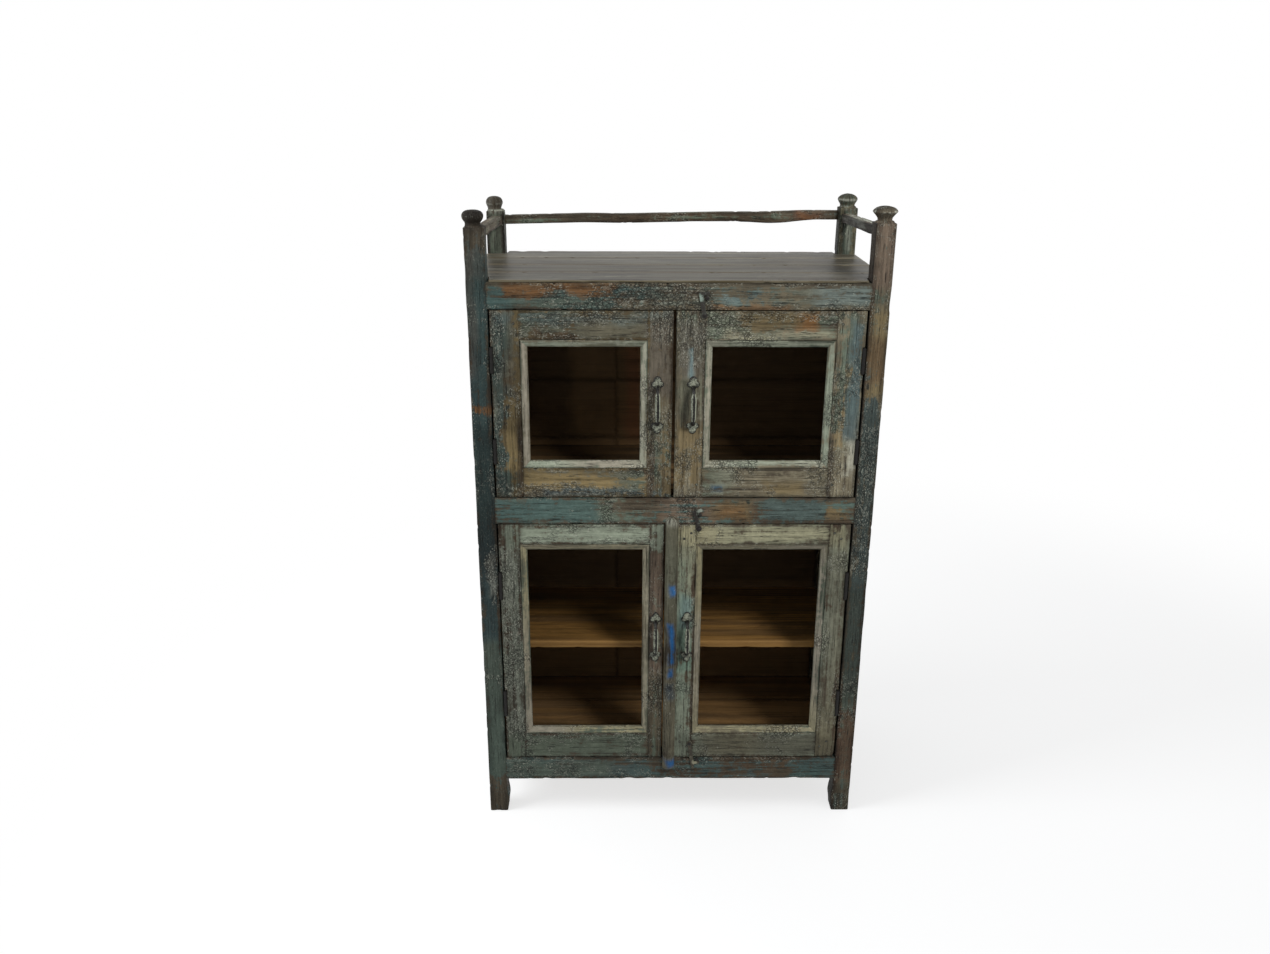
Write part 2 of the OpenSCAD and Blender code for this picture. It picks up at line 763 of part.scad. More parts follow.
// Column round a hinge's axis, on the left side
module hinge_column(r, z0, z1) {
    translate([-post_face_x + hinge_axis_x, face_setback, z0]) cylinder(r = r, h = z1 - z0);
}

// Leaf fixed to the post, with the outer two knuckles
module frame_leaf(h) {
    inner = h[1] / 6 + knuckle_gap / 2;
    difference() {
        union() {
            difference() {
                block([-post_face_x, face_setback, h[0] - h[1] / 2],
                    [-post_face_x + hinge_leaf_t, face_setback + hinge_leaf_d, h[0] + h[1] / 2]);
                hinge_column(knuckle_r + hinge_clearance, h[0] - inner, h[0] + inner);
            }
            hinge_column(knuckle_r, h[0] - h[1] / 2, h[0] - inner);
            hinge_column(knuckle_r, h[0] + inner, h[0] + h[1] / 2);
        }
        hinge_column(knuckle_bore_r, h[0] - h[1], h[0] + h[1]);
        frame_leaf_nails(h, nail_clearance);
    }
}

// Leaf fixed to the door, with the middle knuckle
module door_leaf(h) {
    inner = h[1] / 6 - knuckle_gap / 2;
    x = -post_face_x + hinge_gap;
    difference() {
        union() {
            difference() {
                block([x - hinge_leaf_t, face_setback, h[0] - h[1] / 2],
                    [x, face_setback + hinge_leaf_d, h[0] + h[1] / 2]);
                hinge_column(knuckle_r + hinge_clearance, h[0] - h[1], h[0] - inner);
                hinge_column(knuckle_r + hinge_clearance, h[0] + inner, h[0] + h[1]);
            }
            hinge_column(knuckle_r, h[0] - inner, h[0] + inner);
        }
        hinge_column(knuckle_bore_r, h[0] - h[1], h[0] + h[1]);
        door_leaf_nails(h, nail_clearance);
    }
}

// Notch in the front edge of a door for one hinge, with the holes for its nails
module hinge_notch(h) {
    reach = h[1] / 2 + pin_head_h + notch_gap;
    hinge_column(knuckle_r + hinge_clearance, h[0] - reach, h[0] + reach);
    door_leaf_nails(h, nail_clearance);
}

module hinge_frame_leaves() {
    placed() color(iron) for (side = [-1, 1]) on_side(side) for (h = all_hinges) frame_leaf(h);
}

module hinge_frame_nails() {
    placed() color(iron) for (side = [-1, 1]) on_side(side)
        for (h = all_hinges) frame_leaf_nails(h, 0);
}

module hinge_pins() {
    placed() color(iron) for (side = [-1, 1]) on_side(side) for (h = all_hinges) {
        reach = h[1] / 2 + pin_head_h;
        hinge_column(hinge_pin_r, h[0] - reach, h[0] + reach);
        hinge_column(pin_head_r, h[0] + h[1] / 2, h[0] + reach);
        hinge_column(pin_head_r, h[0] - reach, h[0] - h[1] / 2);
    }
}

// Nail or pin that stands in the face of a door or rail, or with a clearance the hole for it
module headed_pin(x, z, clearance) {
    translate([x, latch_head_y, z]) rotate([-90, 0, 0])
        cylinder(r = latch_nail_r + clearance,
            h = face_setback - latch_head_y + latch_nail_depth + clearance);
    if (clearance == 0)
        translate([x, latch_head_y, z]) rotate([90, 0, 0]) {
            cylinder(r = latch_head_r, h = latch_head_h / 2);
            translate([0, 0, latch_head_h / 2])
                cylinder(r1 = latch_head_r, r2 = latch_head_r / 2, h = latch_head_h / 2);
        }
}

module catch_pin(l, clearance) {
    p = catch_place(l);
    headed_pin(p[0], p[1], clearance);
}

module latch_catch_pins() {
    placed() color(iron) for (l = [top_latch, middle_latch, bottom_latch]) catch_pin(l, 0);
}

// Turns the latch's own frame into its place at rest on the front of the cabinet
module at_latch(l) {
    translate([l[0], latch_front_y, l[1]]) rotate([0, -l[5], 0])
        mirror([0, 0, l[4] > 0 ? 0 : 1]) children();
}

// Forged arm with an ear that hooks over the catch pin
module latch_hook(l) {
    w = latch_arm_w / 2;
    placed() color(iron) difference() {
        at_latch(l) translate([0, latch_t, 0]) rotate([90, 0, 0]) linear_extrude(latch_t) {
            circle(r = latch_round_r);
            translate([-w, 0]) square([2 * w, l[3]]);
            translate([-w, l[3] - latch_ear_h]) square([w + latch_ear_l, latch_ear_h]);
            translate([latch_ear_l, l[3] - latch_ear_h / 2]) circle(d = latch_ear_h);
            if (l[2] > l[3]) polygon([[-w, l[3]], [w, l[3]], [w / 2, l[2]], [-w / 2, l[2]]]);
        }
        translate([l[0], latch_front_y - eps, l[1]]) rotate([-90, 0, 0])
            cylinder(r = latch_nail_r + pin_clearance, h = latch_t + 2 * eps);
    }
}

module top_latch_hook() {
    latch_hook(top_latch);
}

module middle_latch_hook() {
    latch_hook(middle_latch);
}

module bottom_latch_hook() {
    latch_hook(bottom_latch);
}

module upper_latch_nail() {
    placed() color(iron) headed_pin(top_latch[0], top_latch[1], 0);
}

module lower_latch_nails() {
    placed() color(iron) for (l = [middle_latch, bottom_latch]) headed_pin(l[0], l[1], 0);
}

// One tenon of a door rail at height z0 to z1, on the left or right side of the opening
module door_tenons(d, z0, z1, end_gap) {
    length = door_tenon_l + end_gap;
    y = face_setback + door_tenon_y;
    for (x = [[opening_left(d) - length, opening_left(d) + eps],
            [opening_right(d) - eps, opening_right(d) + length]])
        block([x[0], y, z0 + tenon_step], [x[1], y + door_tenon_t, z1 - tenon_step]);
}

// Small nails at the four joints of a door frame: count is one or two at each joint
module joint_nails(d, count, clearance) {
    for (i = [0:count - 1], rail = [[top_rail_mid(d), 1], [bottom_rail_mid(d), -1]]) {
        inset = i == 0 ? joint_nail_inset : joint_nail_inset_2;
        z = rail[0] + rail[1] * (i == 0 ? joint_nail_rise : -joint_nail_rise_2);
        for (x = [opening_left(d) - inset, opening_right(d) + inset])
            translate([x, face_setback, z]) small_nail(clearance);
    }
}

// Nails of a handle's two leaves, standing on the leaves
module handle_nails(x, z, clearance) {
    for (end = [-1, 1], side = [-1, 1])
        translate([x + side * leaf_w / 4, face_setback - leaf_t - nail_head_h,
                z + end * (handle_l / 2 - leaf_l / 2)])
            small_nail(clearance);
}

// Cuts that a door's frame shares: hinge notches, joint nails, handle nails and latch nails
module door_cuts(d, side, hinges, joint_count, hx, hz) {
    on_side(side) for (h = hinges) hinge_notch(h);
    joint_nails(d, joint_count, nail_clearance);
    handle_nails(hx, hz, nail_clearance);
    if (d == upper_right) headed_pin(top_latch[0], top_latch[1], nail_clearance);
    if (d == lower_right)
        for (l = [middle_latch, bottom_latch]) headed_pin(l[0], l[1], nail_clearance);
}

module door_stiles(d) {
    y0 = face_setback;
    y1 = y0 + door_t;
    difference() {
        union() {
            block([d[0], y0, d[2]], [opening_left(d), y1, d[3]]);
            block([opening_right(d), y0, d[2]], [d[1], y1, d[3]]);
            block([opening_left(d) - eps, y0 + lip_y, opening_bottom(d)],
                [opening_left(d) + lip_w, y1, opening_top(d)]);
            block([opening_right(d) - lip_w, y0 + lip_y, opening_bottom(d)],
                [opening_right(d) + eps, y1, opening_top(d)]);
        }
        door_tenons(d, opening_top(d), d[3], mortise_gap);
        door_tenons(d, d[2], opening_bottom(d), mortise_gap);
    }
}

module door_rails(d) {
    y0 = face_setback;
    y1 = y0 + door_t;
    for (z = [[opening_top(d), d[3]], [d[2], opening_bottom(d)]]) {
        block([opening_left(d), y0, z[0]], [opening_right(d), y1, z[1]]);
        door_tenons(d, z[0], z[1], 0);
    }
    for (z = [[opening_top(d) - lip_w, opening_top(d) + eps],
            [opening_bottom(d) - eps, opening_bottom(d) + lip_w]])
        block([opening_left(d) + lip_w, y0 + lip_y, z[0]], [opening_right(d) - lip_w, y1, z[1]]);
}

module door_glass(d) {
    c = glass_clearance;
    block([opening_left(d) + c, face_setback + glass_y, opening_bottom(d) + c],
        [opening_right(d) - c, face_setback + lip_y, opening_top(d) - c]);
}

// One mitred bead along +X from the origin, with the window towards +Z
module bead(length) {
    profile = [[bead_setback, 0], [bead_setback, bead_flat], [glass_y - bead_edge_t, bead_w],
        [glass_y, bead_w], [glass_y, 0]];
    intersection() {
        rotate([90, 0, 90]) linear_extrude(length) polygon(profile);
        translate([0, door_t, 0]) rotate([90, 0, 0]) linear_extrude(door_t)
            polygon([[mitre_gap, 0], [length - mitre_gap, 0],
                [length - bead_w - mitre_gap, bead_w], [bead_w + mitre_gap, bead_w]]);
    }
}

module door_beads(d) {
    width = opening_right(d) - opening_left(d);
    height = opening_top(d) - opening_bottom(d);
    translate([0, face_setback, 0]) {
        translate([opening_left(d), 0, opening_bottom(d)]) bead(width);
        translate([opening_right(d), 0, opening_bottom(d)]) rotate([0, -90, 0]) bead(height);
        translate([opening_right(d), 0, opening_top(d)]) rotate([0, 180, 0]) bead(width);
        translate([opening_left(d), 0, opening_top(d)]) rotate([0, 90, 0]) bead(height);
    }
}

// Half of a handle above its middle: leaf, leg, bend and half of the bar
module handle_half() {
    bar_y = -(handle_proud - handle_bar_d / 2);
    leg_z = handle_l / 2 - leaf_l + handle_bar_d / 2;
    leaf_r = leaf_w / 2;
    leaf_mid = handle_l / 2 - leaf_l + leaf_r;
    // The sides of the leaf's tip leave its round part at a tangent
    tip_angle = acos(leaf_r / (leaf_l - leaf_r));
    tip_side = [leaf_r * sin(tip_angle), leaf_mid + leaf_r * cos(tip_angle)];
    rotate([90, 0, 0]) linear_extrude(leaf_t) {
        translate([0, leaf_mid]) circle(d = leaf_w);
        polygon([[0, leaf_mid], tip_side, [0, handle_l / 2], [-tip_side[0], tip_side[1]]]);
    }
    translate([0, 0, leg_z]) rotate([90, 0, 0])
        cylinder(d = handle_bar_d, h = -bar_y - handle_bend_r);
    translate([0, bar_y + handle_bend_r, leg_z - handle_bend_r]) rotate([90, 0, -90])
        rotate_extrude(angle = 90) translate([handle_bend_r, 0]) circle(d = handle_bar_d);
    translate([0, bar_y, 0]) cylinder(d = handle_bar_d, h = leg_z - handle_bend_r);
}

module handle(x, z) {
    placed() color(iron) difference() {
        translate([x, face_setback, z]) {
            handle_half();
            mirror([0, 0, 1]) handle_half();
        }
        handle_nails(x, z, nail_clearance);
    }
}

// The nails of a door: at its joints, its handle and its hinge leaves
module door_nails(d, side, hinges, joint_count, hx, hz) {
    joint_nails(d, joint_count, 0);
    handle_nails(hx, hz, 0);
    on_side(side) for (h = hinges) door_leaf_nails(h, 0);
}

module upper_left_cuts() {
    door_cuts(upper_left, -1, upper_hinges, 1, upper_left_handle_x, upper_handle_z);
}

module upper_right_cuts() {
    door_cuts(upper_right, 1, upper_hinges, 1, upper_right_handle_x, upper_handle_z);
}

module lower_left_cuts() {
    door_cuts(lower_left, -1, lower_hinges, 1, lower_left_handle_x, lower_handle_z);
}

module lower_right_cuts() {
    door_cuts(lower_right, 1, lower_hinges, 2, lower_right_handle_x, lower_handle_z);
}

module upper_left_door_stiles() {
    placed() color(paint) difference() {
        door_stiles(upper_left);
        upper_left_cuts();
    }
}

module upper_left_door_rails() {
    placed() color(paint) difference() {
        door_rails(upper_left);
        upper_left_cuts();
    }
}

module upper_left_door_glass() {
    placed() color(pane) door_glass(upper_left);
}

module upper_left_door_beads() {
    placed() color(pale_paint) door_beads(upper_left);
}

module upper_left_door_handle() {
    handle(upper_left_handle_x, upper_handle_z);
}

module upper_left_door_hinge_leaves() {
    placed() color(iron) on_side(-1) for (h = upper_hinges) door_leaf(h);
}

module upper_left_door_nails() {
    placed() color(iron)
        door_nails(upper_left, -1, upper_hinges, 1, upper_left_handle_x, upper_handle_z);
}

module upper_right_door_stiles() {
    placed() color(paint) difference() {
        door_stiles(upper_right);
        upper_right_cuts();
    }
}

module upper_right_door_rails() {
    placed() color(paint) difference() {
        door_rails(upper_right);
        upper_right_cuts();
    }
}

module upper_right_door_glass() {
    placed() color(pane) door_glass(upper_right);
}

module upper_right_door_beads() {
    placed() color(pale_paint) door_beads(upper_right);
}

module upper_right_door_handle() {
    handle(upper_right_handle_x, upper_handle_z);
}

module upper_right_door_hinge_leaves() {
    placed() color(iron) on_side(1) for (h = upper_hinges) door_leaf(h);
}

module upper_right_door_nails() {
    placed() color(iron)
        door_nails(upper_right, 1, upper_hinges, 1, upper_right_handle_x, upper_handle_z);
}

module lower_left_door_stiles() {
    placed() color(pale_paint) difference() {
        door_stiles(lower_left);
        lower_left_cuts();
    }
}

module lower_left_door_rails() {
    placed() color(pale_paint) difference() {
        door_rails(lower_left);
        lower_left_cuts();
    }
}

module lower_left_door_glass() {
    placed() color(pane) door_glass(lower_left);
}

module lower_left_door_beads() {
    placed() color(pale_paint) door_beads(lower_left);
}

module lower_left_door_handle() {
    handle(lower_left_handle_x, lower_handle_z);
}

module lower_left_door_hinge_leaves() {
    placed() color(iron) on_side(-1) for (h = lower_hinges) door_leaf(h);
}

module lower_left_door_nails() {
    placed() color(iron)
        door_nails(lower_left, -1, lower_hinges, 1, lower_left_handle_x, lower_handle_z);
}

module lower_right_door_stiles() {
    placed() color(pale_paint) difference() {
        door_stiles(lower_right);
        lower_right_cuts();
    }
}

module lower_right_door_rails() {
    placed() color(pale_paint) difference() {
        door_rails(lower_right);
        lower_right_cuts();
    }
}

module lower_right_door_glass() {
    placed() color(pane) door_glass(lower_right);
}

module lower_right_door_beads() {
    placed() color(pale_paint) door_beads(lower_right);
}

module lower_right_door_handle() {
    handle(lower_right_handle_x, lower_handle_z);
}

module lower_right_door_hinge_leaves() {
    placed() color(iron) on_side(1) for (h = lower_hinges) door_leaf(h);
}

module lower_right_door_nails() {
    placed() color(iron)
        door_nails(lower_right, 1, lower_hinges, 2, lower_right_handle_x, lower_handle_z);
}

// Half-round strip on the right door's meeting stile, with a domed upper end
module lower_right_door_strip() {
    r = (strip_w * strip_w / 4 + strip_proud * strip_proud) / (2 * strip_proud);
    z0 = lower_opening_z - strip_lap_bottom;
    z1 = middle_rail_z + strip_lap_top;
    placed() color(paint) difference() {
        intersection() {
            translate([strip_x, face_setback - strip_proud + r, z0])
                cylinder(r = r, h = z1 - z0, $fn = 96);
            block([strip_left, face_setback - strip_proud, z0],
                [strip_left + strip_w, face_setback, z1]);
            union() {
                block([strip_left, face_setback - strip_proud, z0],
                    [strip_left + strip_w, face_setback, z1 - strip_w / 2]);
                translate([strip_x, face_setback, z1 - strip_w / 2]) rotate([90, 0, 0])
                    cylinder(d = strip_w, h = strip_proud, $fn = 96);
            }
        }
        for (z = [[0, lower_z[0]], [lower_z[1], 2 * z1]])
            block([-half_w, face_setback - strip_clearance, z[0]], [half_w, cabinet_d, z[1]]);
    }
}

front_left_post();
front_right_post();
back_left_post();
back_right_post();
top_front_rail();
middle_front_rail();
bottom_front_rail();
back_rails();
left_side_rails();
right_side_rails();
left_side_boards();
right_side_boards();
back_boards();
top_boards();
upper_floor_boards();
lower_floor_boards();
lower_shelf();
support_cleats();
door_stops();
back_gallery_rail();
left_gallery_rail();
right_gallery_rail();
hinge_frame_leaves();
hinge_frame_nails();
hinge_pins();
latch_catch_pins();
upper_left_door_stiles();
upper_left_door_rails();
upper_left_door_glass();
upper_left_door_beads();
upper_left_door_handle();
upper_left_door_hinge_leaves();
upper_left_door_nails();
upper_right_door_stiles();
upper_right_door_rails();
upper_right_door_glass();
upper_right_door_beads();
upper_right_door_handle();
upper_right_door_hinge_leaves();
upper_right_door_nails();
lower_left_door_stiles();
lower_left_door_rails();
lower_left_door_glass();
lower_left_door_beads();
lower_left_door_handle();
lower_left_door_hinge_leaves();
lower_left_door_nails();
lower_right_door_stiles();
lower_right_door_rails();
lower_right_door_glass();
lower_right_door_beads();
lower_right_door_handle();
lower_right_door_hinge_leaves();
lower_right_door_nails();
lower_right_door_strip();
upper_latch_nail();
lower_latch_nails();
top_latch_hook();
middle_latch_hook();
bottom_latch_hook();
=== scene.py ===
"""Looks of a worn, painted cabinet with glazed doors and a gallery top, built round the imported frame."""
import itertools
import math

import bmesh
import bpy
import numpy as np
from mathutils import Matrix, Vector

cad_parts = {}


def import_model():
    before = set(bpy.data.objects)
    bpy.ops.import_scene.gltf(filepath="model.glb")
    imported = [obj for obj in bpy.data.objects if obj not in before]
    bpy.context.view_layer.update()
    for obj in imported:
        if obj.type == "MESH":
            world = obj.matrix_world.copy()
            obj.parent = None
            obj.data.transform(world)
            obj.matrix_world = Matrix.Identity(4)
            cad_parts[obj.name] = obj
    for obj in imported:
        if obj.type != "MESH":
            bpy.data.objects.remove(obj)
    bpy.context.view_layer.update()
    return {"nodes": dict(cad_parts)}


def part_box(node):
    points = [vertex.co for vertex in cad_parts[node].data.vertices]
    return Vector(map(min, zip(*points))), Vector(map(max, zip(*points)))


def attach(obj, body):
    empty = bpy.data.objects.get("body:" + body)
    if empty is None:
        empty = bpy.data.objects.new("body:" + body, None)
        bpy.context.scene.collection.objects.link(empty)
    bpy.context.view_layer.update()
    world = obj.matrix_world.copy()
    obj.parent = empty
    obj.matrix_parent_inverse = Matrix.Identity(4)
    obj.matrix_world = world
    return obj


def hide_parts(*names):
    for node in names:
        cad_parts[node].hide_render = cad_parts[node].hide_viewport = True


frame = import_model()

MM = 0.001
X, Y, Z = 0, 1, 2
DOORS = ("upper_left_door", "upper_right_door", "lower_left_door", "lower_right_door")

# Sizes that the frame's boxes don't give, in metres
POST = 0.044             # side of a post
SETBACK = 0.001          # of the rails and doors behind the posts' faces
KNOB_H = 0.034           # height of a knob over its shoulder
GALLERY_H = 0.022        # height of a gallery rail
GLASS_CLEARANCE = 0.001  # between a pane and the wood round it
MEETING = 0.002          # reach of the lower left door's worn edge into the meeting gap
TUCK = 0.003             # of a rail's end into its post
LAP = 0.0014             # of a board over the joint to its neighbour
STEP = 0.006             # usual distance between points

# How the floor looks to the camera: its own white, and the share that takes the shadows
FLOOR_GLOW = 0.695
FLOOR_DIFFUSE = 0.54

# The cabinet's main planes, from the frame
HALF_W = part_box("top_boards")[1].x
FRONT_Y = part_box("top_front_rail")[0].y - SETBACK
BACK_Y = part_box("top_boards")[1].y + SETBACK
INNER_X = HALF_W - POST
BETWEEN_POSTS = {X: (-INNER_X - TUCK, INNER_X + TUCK), Y: (FRONT_Y + POST - TUCK, BACK_Y - POST + TUCK)}

# Sides of a piece
LEFT, RIGHT, BACK = (-1, 0, 0), (1, 0, 0), (0, 1, 0)

# Tones of the old paint layers, the bare wood and the iron
TONES = {
    "teal": "#425653", "deep_teal": "#323f40", "slate": "#475250", "slate_blue": "#4b5d63",
    "sky": "#75898a", "turquoise": "#587b6e", "sage": "#767d6e", "olive": "#807b62",
    "grey_green": "#575f52", "greige": "#706957", "pale_greige": "#7d786b", "rosy_grey": "#77685a",
    "cream": "#b5b6a8", "purple_grey": "#5a534b", "ultramarine": "#2c6aa6", "blue": "#2d5069",
    "grey_brown": "#564e41", "brown": "#4d4032", "dark_brown": "#2d2720", "red_brown": "#553a2d",
    "orange": "#7f5833", "tan": "#837351", "honey": "#a98048", "pale_honey": "#c3965a",
    "board_grey": "#7a776a", "board_brown": "#5f5849", "inside_brown": "#6f583c", "inside_dark": "#433526",
    "painted_shadow_black": "#17130e", "painted_reflection_brown": "#7b5238", "amber": "#80633f", "black": "#12110f",
}

# Surface of each member: two paint tones, two wood tones, share of paint left, crackle and depth of tone.
# In bare wood, the crackle column says how lively its figure is.
STYLES = {
    "front_left_post": ("deep_teal", "teal", "grey_brown", "brown", 0.78, 0.24, 0.67),
    "front_right_post": ("grey_green", "slate", "greige", "brown", 0.62, 0.62, 0.70),
    "back_left_post": ("grey_green", "purple_grey", "grey_brown", "dark_brown", 0.60, 0.50, 0.84),
    "back_right_post": ("grey_green", "deep_teal", "olive", "grey_brown", 0.45, 0.60, 0.78),
    "top_front_rail": ("teal", "greige", "grey_brown", "greige", 0.52, 0.62, 0.88),
    "middle_front_rail": ("teal", "grey_green", "grey_brown", "brown", 0.62, 0.50, 1.24),
    "bottom_front_rail": ("slate", "teal", "brown", "grey_brown", 0.60, 0.50, 0.86),
    "gallery": ("grey_green", "greige", "grey_brown", "brown", 0.45, 0.35, 0.98),
    "side": ("teal", "slate", "grey_brown", "brown", 0.66, 0.55, 0.71),
    "upper_left_door": ("grey_green", "greige", "brown", "tan", 0.58, 0.70, 0.71),
    "upper_right_door": ("grey_green", "greige", "grey_brown", "greige", 0.55, 0.62, 1.14),
    "lower_left_door": ("sage", "grey_green", "brown", "grey_brown", 0.62, 0.60, 0.86),
    "lower_right_door": ("olive", "sage", "grey_brown", "brown", 0.62, 0.45, 1.14),
    "upper_bead": ("pale_greige", "sage", "greige", "grey_green", 0.62, 0.55, 1.38),
    "lower_bead": ("olive", "pale_greige", "grey_green", "greige", 0.62, 0.50, 1.12),
    "strip": ("grey_green", "greige", "grey_brown", "dark_brown", 0.72, 0.30, 0.85),
    "top_boards": ("board_grey", "board_brown", "board_grey", "board_brown", 0.0, 1.0, 0.42),
    "inside": ("brown", "brown", "inside_brown", "inside_dark", 0.0, 1.0, 1.6),
    "back_boards": ("brown", "brown", "inside_brown", "inside_brown", 0.0, 0.42, 2.1),
    "inside_floor": ("amber", "amber", "amber", "inside_brown", 0.0, 1.0, 1.3),
    "shelf": ("honey", "honey", "honey", "amber", 0.0, 1.0, 0.85),
}

